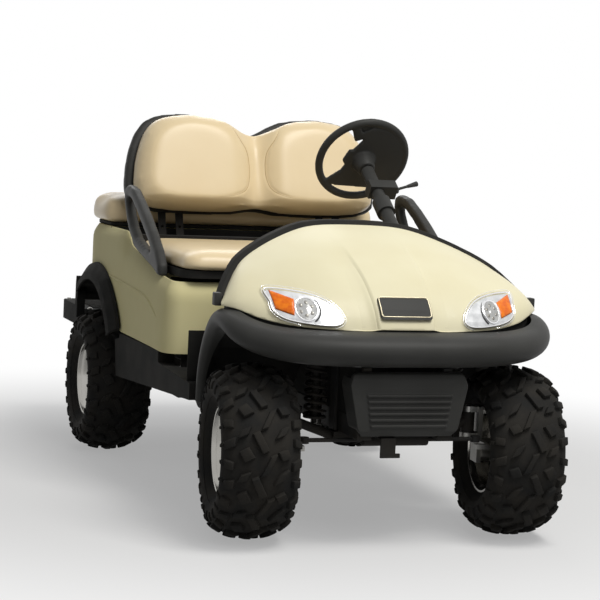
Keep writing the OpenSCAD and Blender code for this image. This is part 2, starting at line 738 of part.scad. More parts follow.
// A wheel that turns on the X axis, outer face toward plus X
hub_in = -34;
module rim() {
    color("Silver") rotate([0, 90, 0]) rotate_extrude($fn = 96)
        polygon([[shaft_r + run_gap, hub_in], [44, hub_in], [44, -8], [70, -8], [118, 6],
                 [118, -rim_w / 2 + 14],
                 [rim_d / 2 - 8, -rim_w / 2 + 6], [rim_d / 2 - 8, -rim_w / 2], [rim_d / 2, -rim_w / 2],
                 [rim_d / 2, -rim_w / 2 + 12], [124, -rim_w / 2 + 22], [124, rim_w / 2 - 22],
                 [rim_d / 2, rim_w / 2 - 12], [rim_d / 2, rim_w / 2], [rim_d / 2 - 8, rim_w / 2],
                 [rim_d / 2 - 8, rim_w / 2 - 6], [118, rim_w / 2 - 14], [118, 16], [72, 4], [44, 4],
                 [40, 30], [22, 34], [0, 34], [0, 26], [shaft_r + run_gap, 26]]);
}
// Lugs a round, their skew from the middle to the shoulder, and the share of a pitch that a flank takes
pitches = 16;
lug_skew = 7;
flank = 0.05;
crown_r = tyre_d / 2 / cos((0.5 - flank) * 180 / pitches);
bead_r = (rim_d / 2 + seat_gap) / cos((0.5 - flank) * 180 / pitches);
// Columns: distance from the middle, radius, drop of a groove, pull of a groove toward the middle
TREAD = [
    [0, crown_r, 0, 0],
    [50, crown_r - 6, 14, 0],
    [102, crown_r - 30, 16, 3],
    [tyre_w / 2, crown_r - 78, 0, 10],
    [tyre_w / 2 - 8, rim_d / 2 + 28, 0, 0],
    [rim_w / 2 - 12.4, bead_r, 0, 0]
];
function tread_point(row, side, up, a) =
    let (x = row[0] - (up ? 0 : row[3]), r = row[1] - (up ? 0 : row[2]),
         q = a + lug_skew * row[0] / tyre_w)
    [side * x, r * cos(q), r * sin(q)];
// Lugs stand up on one side while the other side has its groove
function tread_ring(a, high) = concat(
    [for (i = [len(TREAD) - 1:-1:0]) tread_point(TREAD[i], -1, high < 0, a)],
    [for (i = [1:len(TREAD) - 1]) tread_point(TREAD[i], 1, high > 0, a)]);
module tyre() {
    flat = (0.5 + flank) / 2;
    steps = [[flank, 1], [0.5, 1], [0.5 + flank, -1], [1, -1]];
    color("Black") ring_loft([for (i = [0:pitches - 1], f = steps)
        tread_ring((i + f[0] - flat) * 360 / pitches - 90, f[1])]);
}
module at_front(side) {
    translate([side * kingpin_x, yf, 0]) rotate([0, 0, steer_park])
        translate([side * (front_track / 2 - kingpin_x), 0, axle_z])
            rotate([0, 0, side > 0 ? 0 : 180]) children();
}
module at_rear(side) {
    translate([side * rear_track / 2, yr, axle_z]) rotate([0, 0, side > 0 ? 0 : 180]) children();
}
module rim_front_left() { at_front(1) rim(); }
module rim_front_right() { at_front(-1) rim(); }
module rim_rear_left() { at_rear(1) rim(); }
module rim_rear_right() { at_rear(-1) rim(); }
module tyre_front_left() { at_front(1) tyre(); }
module tyre_front_right() { at_front(-1) tyre(); }
module tyre_rear_left() { at_rear(1) tyre(); }
module tyre_rear_right() { at_rear(-1) tyre(); }

spring_x = 214;
module rear_axle() {
    color("DarkSlateGray") {
        translate([-rear_track / 2 + 60, yr, axle_z]) rotate([0, 90, 0])
            cylinder(r = 34, h = rear_track - 120);
        translate([-rear_track / 2 - 20, yr, axle_z]) rotate([0, 90, 0])
            cylinder(r = shaft_r, h = rear_track + 40);
        translate([-60, yr, axle_z]) rotate([0, 90, 0]) cylinder(r = 62, h = 130);
        both() translate([rear_track / 2 - 110, yr, axle_z]) rotate([0, 90, 0]) cylinder(r = 88, h = 56);
    }
}
module motor() {
    color("Gray") {
        translate([-184, yr - 160, 264]) rotate([0, 90, 0]) cylinder(r = 78, h = 254);
        translate([40, yr - 174, 226]) cube([30, 112 - seat_gap, 84]);
    }
}
function leaf(y, k) = let (d = (y - wheelbase) / 330) 232 + 148 * d * d * 0.62 - 9 * k;
module rear_springs() {
    ys = [for (y = [1330:30:1990]) y];
    color("DarkSlateGray") both() {
        side_plate(spring_x - 25, spring_x + 25, concat([for (y = ys) [yf + y, leaf(y, 0)]],
            [for (i = [len(ys) - 1:-1:0]) [yf + ys[i], leaf(ys[i], 0) - 9]]));
        translate([spring_x - 25, yr - 40, 208]) cube([50, 80, axle_z - 34 - seat_gap - 208]);
        translate([spring_x - 20, yf + 1332, 312]) cube([40, 12, 60 - seat_gap]);
        translate([spring_x - 20, yf + 1976, 312]) cube([40, 12, 60 - seat_gap]);
    }
}
module rear_dampers() {
    color("Gray") both() {
        rod([316, yr + 96, 296], [316, yr + 138, 440], 18);
        rod([316, yr + 138, 440], [316, yr + 141, 590 - seat_gap], 9);
        translate([300, yr + 34.3, 272]) cube([32, 74, 26]);
    }
}

// Steering

wheel_y = yf + 927;
wheel_z = 1198;
module on_column() {
    translate([column_x, wheel_y, wheel_z]) rotate([column_tilt - 90, 0, 0]) children();
}
module steering_column() {
    color("DimGray") difference() {
        on_column() {
            translate([0, 0, -700]) cylinder(d = column_d, h = 700 - 74);
            translate([0, 0, -330]) cylinder(d = column_d + 18, h = 70);
        }
        on_column() translate([0, 0, -400]) cylinder(r = 9 + run_gap, h = 400);
        translate([0, dash_y(640) + seat_gap, 640]) rotate([-11.31, 0, 0])
            translate([0, -300, 0]) cube([600, 600, 900], center = true);
    }
}
module column_lever() {
    clamp = column_d / 2 + 8;
    color("DimGray") on_column() {
        difference() {
            translate([-clamp, -clamp, -214]) cube([clamp + 72, 2 * clamp - 10, 44]);
            translate([0, 0, -220]) cylinder(d = column_d + 2 * seat_gap, h = 60);
        }
        translate([60, 0, -192]) rotate([0, 66, 0]) {
            cylinder(r = 15, h = 24);
            cylinder(r = 5, h = 90);
            translate([0, 0, 78]) cylinder(r1 = 6, r2 = 10, h = 46);
        }
    }
}
// Board inside the wheel's ring, in the ring's plane
BOARD = [
    [-38, -118], [-17, -89], [-45, -43], [-60, -43], [-77, 4], [-62, 24], [-98, 100], [-88, 112],
    [-30, 116], [30, 118], [74, 118], [112, 96], [138, 60], [150, 14], [148, -40], [128, -88],
    [92, -122], [48, -142], [4, -146]
];
module steering_wheel() {
    r = wheel_d / 2 - 14;
    color("DimGray") on_column() {
        rotate_extrude($fn = 96) translate([r, 0]) circle(14, $fn = 24);
        translate([0, 0, -12]) linear_extrude(16) polygon(BOARD);
        // Spokes to the ring
        for (a = [-112, -50, 10, 62, 137]) rotate([0, 0, a])
            translate([96, -16, -11]) cube([r - 98, 32, 13]);
        translate([0, 0, -66]) cylinder(r1 = 30, r2 = 46, h = 60);
        translate([0, 0, -390]) cylinder(r = 9, h = 330);
    }
}

// A point on the toe board: up runs along it, off stands away from it
function on_toe(up, off) = [yf + 326.3 - 0.6266 * up + 0.7793 * off, 560.2 + 0.7793 * up + 0.6266 * off];
// Columns: x of the pedal's right edge, width
PEDALS = [[140, 84], [268, 50]];
module pedals() {
    color("Gray") for (p = PEDALS) {
        side_plate(p[0], p[0] + p[1], [on_toe(-46, 26), on_toe(46, 26), on_toe(46, 35), on_toe(-46, 35)]);
        side_plate(p[0] + 16, p[0] + 34,
            [on_toe(-9, seat_gap), on_toe(9, seat_gap), on_toe(9, 27), on_toe(-9, 27)]);
    }
}

frame_rail_left();
frame_rail_right();
cross_members();
floor_pan();
wheel_liners();
rockers();
front_cowl();
dash();
front_bumper();
front_cover();
head_lamps();
turn_lenses();
front_plate();
rear_body();
rear_flares();
seat_hinges();
seat_pan();
seat_cushion();
backrest_cushion();
backrest_shell();
backrest_bars();
armrests();
rear_seat_base();
rear_seat_cushion();
rear_step();
tail_lamps();
battery_pack();
front_axle();
front_springs();
front_dampers();
tie_rod();
knuckle_left();
knuckle_right();
rim_front_left();
rim_front_right();
rim_rear_left();
rim_rear_right();
tyre_front_left();
tyre_front_right();
tyre_rear_left();
tyre_rear_right();
rear_axle();
motor();
rear_springs();
rear_dampers();
steering_column();
column_lever();
steering_wheel();
pedals();
tow_strap();
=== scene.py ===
"""Looks of the electric utility cart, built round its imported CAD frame. Metres, front toward minus Y."""
import json
import math

import bmesh
import bpy
import numpy as np
from mathutils import Matrix, Vector
from mathutils.bvhtree import BVHTree


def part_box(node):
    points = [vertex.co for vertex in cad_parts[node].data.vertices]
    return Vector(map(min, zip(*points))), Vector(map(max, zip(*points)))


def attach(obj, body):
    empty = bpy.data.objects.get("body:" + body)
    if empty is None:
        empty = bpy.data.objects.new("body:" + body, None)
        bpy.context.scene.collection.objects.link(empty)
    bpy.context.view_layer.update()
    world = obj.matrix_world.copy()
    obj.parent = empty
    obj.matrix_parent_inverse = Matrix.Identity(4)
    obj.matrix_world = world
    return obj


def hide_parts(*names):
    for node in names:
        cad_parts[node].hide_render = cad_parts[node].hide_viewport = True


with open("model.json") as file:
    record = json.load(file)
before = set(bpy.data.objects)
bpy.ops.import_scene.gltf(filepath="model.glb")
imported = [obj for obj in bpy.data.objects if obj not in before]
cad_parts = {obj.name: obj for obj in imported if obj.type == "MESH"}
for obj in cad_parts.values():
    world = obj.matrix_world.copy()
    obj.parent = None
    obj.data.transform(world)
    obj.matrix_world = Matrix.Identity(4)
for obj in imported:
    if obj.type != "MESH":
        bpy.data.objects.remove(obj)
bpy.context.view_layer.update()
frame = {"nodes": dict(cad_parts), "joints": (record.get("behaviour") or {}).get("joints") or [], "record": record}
NODES = frame["nodes"]
JOINTS = {j["name"]: j for j in frame["joints"]}
BODY_OF = {n: b for b, group in frame["record"]["behaviour"]["bodies"].items() for n in group}
SLOT_OF = {s["node"]: s["material_slot"] for s in frame["record"]["subparts"]}
FRONT_AXLE = JOINTS["steer_left"]["pos_m"][1]


# Camera at the photograph's place, measured from the front axle

EYE = (-2.203, -5.557, 1.277)
YAW, PITCH, ROLL = [math.radians(a) for a in (18.92, 5.03, 2.71)]
LENS, SENSOR = 112.38, 36


def place_camera():
    ahead = Vector((math.sin(YAW) * math.cos(PITCH), math.cos(YAW) * math.cos(PITCH), -math.sin(PITCH)))
    right = Vector((math.cos(YAW), -math.sin(YAW), 0))
    up = right.cross(ahead)
    side = right * math.cos(ROLL) + up * math.sin(ROLL)
    top = up * math.cos(ROLL) - right * math.sin(ROLL)
    turn = Matrix((side, top, -ahead)).transposed().to_4x4()
    data = bpy.data.cameras.new("camera")
    data.sensor_width = SENSOR
    data.lens = LENS
    camera = bpy.data.objects.new("camera", data)
    bpy.context.scene.collection.objects.link(camera)
    camera.matrix_world = Matrix.Translation((EYE[0], EYE[1] + FRONT_AXLE, EYE[2])) @ turn
    bpy.context.scene.camera = camera


# Materials

def new_material(name):
    mat = bpy.data.materials.new(name)
    mat.use_nodes = True
    nodes = mat.node_tree.nodes
    return mat, nodes, mat.node_tree.links, nodes["Principled BSDF"]


def new_group(name, inputs, outputs):
    group = bpy.data.node_groups.new(name, "ShaderNodeTree")
    for label, kind, value in inputs:
        socket = group.interface.new_socket(label, in_out="INPUT", socket_type=kind)
        socket.default_value = value
    for label, kind in outputs:
        group.interface.new_socket(label, in_out="OUTPUT", socket_type=kind)
    return group, group.nodes.new("NodeGroupInput"), group.nodes.new("NodeGroupOutput")


def grain_group():
    """Fine grain height and a slow blotch mask on Object coordinates."""
    group, given, out = new_group(
        "surface_grain",
        [("Grain Scale", "NodeSocketFloat", 900.0), ("Blotch Scale", "NodeSocketFloat", 6.0)],
        [("Height", "NodeSocketFloat"), ("Blotch", "NodeSocketFloat")])
    nodes, links = group.nodes, group.links
    place = nodes.new("ShaderNodeTexCoord")
    fine = nodes.new("ShaderNodeTexNoise")
    fine.inputs["Detail"].default_value = 3
    slow = nodes.new("ShaderNodeTexNoise")
    slow.inputs["Detail"].default_value = 4
    links.new(place.outputs["Object"], fine.inputs["Vector"])
    links.new(place.outputs["Object"], slow.inputs["Vector"])
    links.new(given.outputs["Grain Scale"], fine.inputs["Scale"])
    links.new(given.outputs["Blotch Scale"], slow.inputs["Scale"])
    links.new(fine.outputs["Fac"], out.inputs["Height"])
    links.new(slow.outputs["Fac"], out.inputs["Blotch"])
    return group


def pebble_group():
    """Small pebbles of embossed vinyl."""
    group, given, out = new_group(
        "pebble_grain", [("Scale", "NodeSocketFloat", 420.0)], [("Height", "NodeSocketFloat")])
    nodes, links = group.nodes, group.links
    place = nodes.new("ShaderNodeTexCoord")
    cells = nodes.new("ShaderNodeTexVoronoi")
    cells.feature = "SMOOTH_F1"
    links.new(place.outputs["Object"], cells.inputs["Vector"])
    links.new(given.outputs["Scale"], cells.inputs["Scale"])
    links.new(cells.outputs["Distance"], out.inputs["Height"])
    return group


GRAIN = grain_group()
PEBBLE = pebble_group()


def finish(name, colour, second, rough, rough_spread, grain, bump, blotch=6.0, metallic=0.0, coat=0.0,
           coat_rough=0.03, specular=0.5, pebble=0.0):
    """A material with two close colours, uneven gloss and a bump from the shared groups."""
    mat, nodes, links, shader = new_material(name)
    surface = nodes.new("ShaderNodeGroup")
    surface.node_tree = GRAIN
    surface.inputs["Grain Scale"].default_value = grain
    surface.inputs["Blotch Scale"].default_value = blotch
    ramp = nodes.new("ShaderNodeValToRGB")
    ramp.color_ramp.elements[0].position = 0.35
    ramp.color_ramp.elements[0].color = (*second, 1)
    ramp.color_ramp.elements[1].position = 0.65
    ramp.color_ramp.elements[1].color = (*colour, 1)
    gloss = nodes.new("ShaderNodeMapRange")
    gloss.inputs["To Min"].default_value = rough - rough_spread
    gloss.inputs["To Max"].default_value = rough + rough_spread
    relief = nodes.new("ShaderNodeBump")
    relief.inputs["Strength"].default_value = 1.0
    relief.inputs["Distance"].default_value = bump
    links.new(surface.outputs["Blotch"], ramp.inputs["Fac"])
    links.new(ramp.outputs["Color"], shader.inputs["Base Color"])
    links.new(surface.outputs["Blotch"], gloss.inputs["Value"])
    links.new(gloss.outputs["Result"], shader.inputs["Roughness"])
    if pebble:
        pebbles = nodes.new("ShaderNodeGroup")
        pebbles.node_tree = PEBBLE
        pebbles.inputs["Scale"].default_value = pebble
        links.new(pebbles.outputs["Height"], relief.inputs["Height"])
    else:
        links.new(surface.outputs["Height"], relief.inputs["Height"])
    links.new(relief.outputs["Normal"], shader.inputs["Normal"])
    shader.inputs["Metallic"].default_value = metallic
    shader.inputs["Coat Weight"].default_value = coat
    shader.inputs["Coat Roughness"].default_value = coat_rough
    shader.inputs["Specular IOR Level"].default_value = specular
    return mat


SHELL = finish("shell_gloss", (0.69, 0.648, 0.46), (0.67, 0.622, 0.43), 0.36, 0.03, 240, 0.00004,
               coat=0.03, specular=0.09)
# Copy of the body paint for the rear body, darker and more saturated than the cowl's: painted shade of the body's
# side, with less gloss
SHADED_SHELL = finish("shell_satin_painted_shade", (0.66, 0.608, 0.345), (0.64, 0.583, 0.32), 0.5, 0.03, 240, 0.00004,
              specular=0.02)
BLACK = finish("moulded_black", (0.038, 0.038, 0.036), (0.031, 0.031, 0.029), 0.47, 0.05, 1500, 0.00010,
               specular=0.11)
DULL = finish("floor_black", (0.020, 0.020, 0.019), (0.027, 0.026, 0.024), 0.72, 0.06, 900, 0.00014,
              blotch=9, specular=0.03)
VINYL = finish("seat_vinyl", (0.73, 0.595, 0.375), (0.71, 0.57, 0.35), 0.34, 0.04, 500, 0.00006,
               pebble=330, coat=0.09, coat_rough=0.2, specular=0.26)
STEEL = finish("black_coat", (0.018, 0.018, 0.018), (0.026, 0.023, 0.019), 0.58, 0.1, 700, 0.00010,
               specular=0.08)
ZINC = finish("zinc_plate", (0.30, 0.30, 0.29), (0.22, 0.21, 0.19), 0.36, 0.08, 400, 0.00005, metallic=0.9)
RIM = finish("polished_rim", (0.42, 0.41, 0.385), (0.34, 0.33, 0.305), 0.20, 0.05, 260, 0.00003,
             metallic=1.0)
RUBBER = finish("tyre_rubber", (0.017, 0.017, 0.0165), (0.026, 0.024, 0.021), 0.76, 0.08, 500, 0.00025,
                blotch=14, specular=0.05)
CHROME = finish("lamp_chrome", (0.86, 0.86, 0.87), (0.82, 0.82, 0.83), 0.12, 0.03, 120, 0.00002,
                metallic=1.0)
FROST = finish("lamp_frosted", (0.62, 0.63, 0.64), (0.50, 0.51, 0.52), 0.34, 0.08, 60, 0.00030,
               blotch=40, metallic=0.55, coat=1.0)
BOWL = finish("lamp_bowl", (0.46, 0.46, 0.45), (0.34, 0.34, 0.33), 0.22, 0.05, 120, 0.00005,
              blotch=30, metallic=0.8, coat=1.0)
AMBER = finish("amber_lens", (0.82, 0.20, 0.004), (0.66, 0.11, 0.002), 0.18, 0.04, 70, 0.0008,
               blotch=60, coat=0.1, specular=0.2)
RED = finish("red_lens", (0.48, 0.012, 0.010), (0.40, 0.010, 0.008), 0.16, 0.04, 90, 0.0004, coat=0.8)
CASE = finish("battery_case", (0.05, 0.05, 0.052), (0.040, 0.040, 0.042), 0.5, 0.05, 900, 0.0001)
# Dark brown of the seam bead: painted shade in the backrest's seams
SEAM_SHADE = finish("seam_cord_painted_shade", (0.47, 0.34, 0.17), (0.43, 0.31, 0.15), 0.5, 0.05, 700, 0.00008)
EDGING = finish("plate_edging", (0.62, 0.56, 0.40), (0.54, 0.48, 0.33), 0.30, 0.05, 400, 0.00004,
                metallic=0.6)

BY_SLOT = {"body_shell": SHELL, "black_plastic": BLACK, "seat_vinyl": VINYL, "black_metal": STEEL,
           "bare_steel": ZINC, "polished_rim": RIM, "tyre_rubber": RUBBER, "lamp_chrome": CHROME,
           "amber_lens": AMBER, "red_lens": RED, "battery_case": CASE}
# Nodes that look unlike the rest of their slot; the rear body's copy of the paint is darker as painted shade
OWN_FINISH = {"head_lamps": FROST, "turn_lenses": FROST, "rear_body": SHADED_SHELL, "tie_rod": STEEL}
for part in ("rockers", "floor_pan", "rear_flares", "rear_step", "seat_pan", "rear_seat_base",
             "wheel_liners", "dash"):
    OWN_FINISH[part] = DULL


def finish_of(node):
    return OWN_FINISH.get(node, BY_SLOT[SLOT_OF[node]])


for part, obj in NODES.items():
    obj.data.materials.clear()
    obj.data.materials.append(finish_of(part))


# Shared steps of making a piece

def show(work, name, node, mat=None, stands_for=True):
    """Makes an object of a bmesh, at the origin, riding with a node's body."""
    data = bpy.data.meshes.new(name)
    work.to_mesh(data)
    work.free()
    obj = bpy.data.objects.new(name, data)
    bpy.context.scene.collection.objects.link(obj)
    data.materials.append(mat or finish_of(node))
    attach(obj, BODY_OF[node])
    if stands_for:
        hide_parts(node)
    return obj


def smooth_by_angle(obj, degrees):
    for face in obj.data.polygons:
        face.use_smooth = True
    obj.data.set_sharp_from_angle(angle=math.radians(degrees))


def detail(work, name, node, degrees, mat=None):
    """A piece that rides with a node and leaves the node showing."""
    obj = show(work, name, node, mat, stands_for=False)
    smooth_by_angle(obj, degrees)
    return obj


def solid_of(node):
    """A merged copy of a node's mesh."""
    work = bmesh.new()
    work.from_mesh(NODES[node].data)
    bmesh.ops.remove_doubles(work, verts=work.verts, dist=1e-5)
    return work


def skin_of(obj):
    """A search tree of an object's surface."""
    spots = [v.co for v in obj.data.vertices]
    return BVHTree.FromPolygons(spots, [list(f.vertices) for f in obj.data.polygons])


def settled(obj):
    """Takes the modifiers' result as the object's own mesh."""
    graph = bpy.context.evaluated_depsgraph_get()
    graph.update()
    made = bpy.data.meshes.new_from_object(obj.evaluated_get(graph))
    old = obj.data
    obj.modifiers.clear()
    obj.data = made
    bpy.data.meshes.remove(old)


def voxelled(obj, cell):
    cubes = obj.modifiers.new("cubes", "REMESH")
    cubes.mode = "VOXEL"
    cubes.voxel_size = cell
    settled(obj)


def walled(obj, thickness, offset):
    wall = obj.modifiers.new("wall", "SOLIDIFY")
    wall.thickness = thickness
    wall.offset = offset


def subdivided(obj, levels):
    finer = obj.modifiers.new("finer", "SUBSURF")
    finer.levels = levels
    finer.render_levels = levels


def rubbed(work, rounds):
    """Evens out a bmesh's skin."""
    for _ in range(rounds):
        bmesh.ops.smooth_vert(work, verts=work.verts, factor=0.5, use_axis_x=True, use_axis_y=True,
                              use_axis_z=True)


def rounded(work, edges, width, segments=2):
    """Rounds some edges of a bmesh."""
    bmesh.ops.bevel(work, geom=edges, offset=width, offset_type="OFFSET", affect="EDGES",
                    segments=segments, profile=0.5, material=-1)


def joined(work, other):
    """Adds one bmesh to another."""
    data = bpy.data.meshes.new("part")
    other.to_mesh(data)
    other.free()
    work.from_mesh(data)
    bpy.data.meshes.remove(data)


def both_sides(work):
    """A bmesh and its mirror image in the cart's middle plane."""
    bmesh.ops.mirror(work, geom=work.verts[:] + work.edges[:] + work.faces[:], axis="X", merge_dist=-1)
    bmesh.ops.recalc_face_normals(work, faces=work.faces)
    return work


def turned(work, line, steps, closed=False):
    """A lathe-turned skin of a line about the X axis."""
    path = [work.verts.new(p) for p in line]
    edges = [work.edges.new(pair) for pair in zip(path, path[1:])]
    if closed:
        edges.append(work.edges.new((path[-1], path[0])))
    bmesh.ops.spin(work, geom=path + edges, cent=(0, 0, 0), axis=(1, 0, 0), angle=2 * math.pi, steps=steps,
                   use_merge=True)
    bmesh.ops.remove_doubles(work, verts=work.verts, dist=1e-6)
    bmesh.ops.recalc_face_normals(work, faces=work.faces)


def dish(rows, steps, closed=False):
    """A round piece about the X axis; columns are the height along it and the radius."""
    work = bmesh.new()
    turned(work, [Vector((high, -r, 0)) for high, r in rows], steps, closed)
    return work


def wire(points, radius, closed=False, thin=None):
    """A round bead along points; thin gives its share of the radius at each point."""
    line = bpy.data.curves.new("bead", "CURVE")
    line.dimensions = "3D"
    line.bevel_depth = radius
    line.bevel_resolution = 2
    line.use_fill_caps = not closed
    spline = line.splines.new("POLY")
    spline.points.add(len(points) - 1)
    for k, spot in enumerate(spline.points):
        spot.co = (*points[k], 1)
        spot.radius = thin[k] if thin else 1.0
    spline.use_cyclic_u = closed
    carrier = bpy.data.objects.new("bead", line)
    bpy.context.scene.collection.objects.link(carrier)
    graph = bpy.context.evaluated_depsgraph_get()
    graph.update()
    made = bpy.data.meshes.new_from_object(carrier.evaluated_get(graph))
    work = bmesh.new()
    work.from_mesh(made)
    bpy.data.objects.remove(carrier)
    bpy.data.curves.remove(line)
    bpy.data.meshes.remove(made)
    bmesh.ops.remove_doubles(work, verts=work.verts, dist=1e-6)
    bmesh.ops.recalc_face_normals(work, faces=work.faces)
    return work


def between(points, steps, closed=False):
    """A smooth line through points."""
    spots = [Vector(p) for p in points]
    n = len(spots)
    line = []
    for i in range(n if closed else n - 1):
        near = [k % n if closed else min(max(k, 0), n - 1) for k in range(i - 1, i + 3)]
        before, start, end, after = [spots[k] for k in near]
        bend = 2 * before - 5 * start + 4 * end - after
        twist = 3 * start - before - 3 * end + after
        for k in range(steps):
            t = k / steps
            line.append(0.5 * (2 * start + (end - before) * t + bend * t ** 2 + twist * t ** 3))
    return line if closed else line + [spots[-1]]


def smooth_share(value):
    share = min(max(value, 0), 1)
    return share * share * (3 - 2 * share)


# Cushions

BACK_TILT = math.radians(-19)
BACK_PLACE = Matrix.Translation((0, FRONT_AXLE + 1.380, 0.969)) @ Matrix.Rotation(BACK_TILT, 4, "X")
BACK_FACE = BACK_PLACE.to_3x3() @ Vector((0, 1, 0))
BACK_DEPTH = 0.095
AIR = 2.0
# Depth of foam that stays as it is at the side where a cushion rests
HELD = 0.022


def shrunk(node, by):
    """A node's copy, smaller by the same length on every side."""
    work = solid_of(node)
    low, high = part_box(node)
    middle, size = (low + high) / 2, high - low
    for vert in work.verts:
        for k in range(3):
            vert.co[k] = middle[k] + (vert.co[k] - middle[k]) * (size[k] - 2 * by) / size[k]
    return work


def places_of(obj):
    return np.array([v.co for v in obj.data.vertices])


def moved_to(obj, spots):
    obj.data.vertices.foreach_set("co", spots.astype(np.float32).ravel())
    obj.data.update()


def blown_up(obj, is_held, cap):
    """Swells a closed skin by air pressure, no point further than cap."""
    start = places_of(obj)
    held = obj.vertex_groups.new(name="held")
    held.add([v.index for v in obj.data.vertices if is_held(v.co)], 1.0, "REPLACE")
    cloth = obj.modifiers.new("air", "CLOTH")
    cloth.settings.use_pressure = True
    cloth.settings.uniform_pressure_force = AIR
    cloth.settings.vertex_group_mass = "held"
    cloth.settings.effector_weights.gravity = 0
    cloth.settings.quality = 4
    scene = bpy.context.scene
    for step in range(1, 21):
        scene.frame_set(step)
    settled(obj)
    scene.frame_set(1)
    move = places_of(obj) - start
    far = np.linalg.norm(move, axis=1, keepdims=True)
    moved_to(obj, start + move * np.minimum(1, cap / np.maximum(far, 1e-9)))
    obj.vertex_groups.clear()


def pulled_taut(obj, rounds):
    """Evens out the skin of a cushion, as stretched vinyl has no small folds."""
    work = bmesh.new()
    work.from_mesh(obj.data)
    rubbed(work, rounds)
    work.to_mesh(obj.data)
    work.free()


def fitted(obj, node, inset):
    """Stretches a cushion to its node's box, a little inside its sides and top."""
    low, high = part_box(node)
    low, high = low + Vector((inset, 0, 0)), high - Vector((inset, 0, inset))
    spots = places_of(obj)
    least, most = spots.min(axis=0), spots.max(axis=0)
    moved_to(obj, np.array(low) + (spots - least) * (np.array(high - low) / (most - least)))


def cushion(node, shrink, cell, cap, is_held, taut, shape=None, inset=0.0):
    """Foam in sewn vinyl: swelled by air pressure from a smaller solid, then shaped by its seams."""
    obj = show(shrunk(node, shrink), node + "_foam", node)
    voxelled(obj, cell)
    blown_up(obj, is_held, cap)
    pulled_taut(obj, taut)
    fitted(obj, node, inset)
    subdivided(obj, 1)
    settled(obj)
    if shape:
        normals = np.array([v.normal for v in obj.data.vertices])
        moved_to(obj, shape(places_of(obj), normals))
    smooth_by_angle(obj, 80)
    return obj


def line_distance(flat, line):
    """Distance of flat points from a line of points."""
    best = np.full(len(flat), 1e9)
    for a, b in zip(line, line[1:]):
        a, b = np.array(a), np.array(b)
        share = np.clip((flat - a) @ (b - a) / ((b - a) @ (b - a)), 0, 1)
        best = np.minimum(best, np.linalg.norm(flat - a - share[:, None] * (b - a), axis=1))
    return best


def inside_line(flat, line):
    """True for flat points inside a closed line."""
    inside = np.zeros(len(flat), bool)
    for (x0, z0), (x1, z1) in zip(line, line[1:]):
        if z0 != z1:
            crossed = (z0 > flat[:, 1]) != (z1 > flat[:, 1])
            inside ^= crossed & (flat[:, 0] < (x1 - x0) * (flat[:, 1] - z0) / (z1 - z0) + x0)
    return inside


# Seam of one backrest lobe: across from the middle, up the backrest
BACK_SEAM = [
    (0.100, 0.350), (0.074, 0.302), (0.045, 0.259), (0.034, 0.215), (0.034, 0.153), (0.046, 0.108),
    (0.070, 0.081), (0.116, 0.062), (0.200, 0.052), (0.312, 0.054), (0.385, 0.069), (0.420, 0.097),
    (0.432, 0.140), (0.430, 0.205), (0.416, 0.262), (0.385, 0.310), (0.330, 0.338), (0.250, 0.350),
    (0.170, 0.350), (0.100, 0.350)
]
# The seam's first points run down the inner side of the lobe
INNER_SEAM = BACK_SEAM[:9]
WAIST_DEPTH, WAIST_HALF = 0.050, 0.058
BORDER_DROP, BORDER_WIDE = 0.016, 0.055
STITCH_HALF = 0.0045
HEM = 0.060


def back_shape(spots, normals):
    """Sinks the waist between the lobes, drops the border outside the seam and draws the hem up."""
    turn = np.array(BACK_PLACE.to_3x3())
    origin = np.array(BACK_PLACE.translation)
    local = (spots - origin) @ turn
    ahead = np.clip(-(normals @ turn)[:, 1], 0, 1)
    across = np.abs(local[:, 0])
    flat = np.stack([across, local[:, 2]], axis=1)
    seam = line_distance(flat, BACK_SEAM)
    outside = np.where(inside_line(flat, BACK_SEAM), 0, seam)
    waist = np.exp(-(across / WAIST_HALF) ** 2)
    inner = np.exp(-(np.maximum(across - 0.075, 0) / 0.05) ** 2)
    border = BORDER_DROP * np.clip(outside / BORDER_WIDE, 0, 1) ** 1.2 * (1 - waist)
    stitched = (0.0006 + 0.0030 * inner) * np.exp(-(seam / STITCH_HALF) ** 2)
    local[:, 1] += ahead * (WAIST_DEPTH * waist + border + stitched)
    local[:, 2] = np.where(local[:, 2] < HEM, HEM - (HEM - local[:, 2]) * 0.6, local[:, 2])
    return local @ turn.T + origin


def seam_cords(obj):
    """Cord along the inner seam of both backrest lobes, dark brown as painted shade in the seam's groove."""
    skin = skin_of(obj)
    line = []
    for p in between([(x, 0, z) for x, z in INNER_SEAM], 6):
        spot, normal, _, _ = skin.ray_cast(BACK_PLACE @ Vector((p.x, -0.4, p.z)), BACK_FACE)
        line.append(spot + normal * 0.0002)
    n = len(line) - 1
    cord = wire(line, 0.0013, thin=[min(1, k / 8, (n - k) / 14) for k in range(n + 1)])
    detail(both_sides(cord), "backrest_seams", "backrest_cushion", 70, SEAM_SHADE)


BACK_REAR = BACK_PLACE @ Vector((0, BACK_DEPTH - HELD, 0))
SEAT_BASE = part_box("seat_cushion")[0].z + HELD
REAR_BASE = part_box("rear_seat_cushion")[0].z + HELD
backrest = cushion("backrest_cushion", 0.008, 0.009, 0.016, lambda p: (p - BACK_REAR).dot(BACK_FACE) > 0,
                   taut=30, shape=back_shape, inset=0.007)
cushion("seat_cushion", 0.006, 0.010, 0.014, lambda p: p.z < SEAT_BASE, taut=22)
cushion("rear_seat_cushion", 0.008, 0.009, 0.016, lambda p: p.z < REAR_BASE, taut=22)
seam_cords(backrest)


# Wheels

TYRE_R = 0.2795
TYRE_HALF = 0.1325
SIDE_R = 0.2015
GROOVE = 0.015
PAIRS = 12
PITCH_LENGTH = 2 * math.pi * TYRE_R / PAIRS


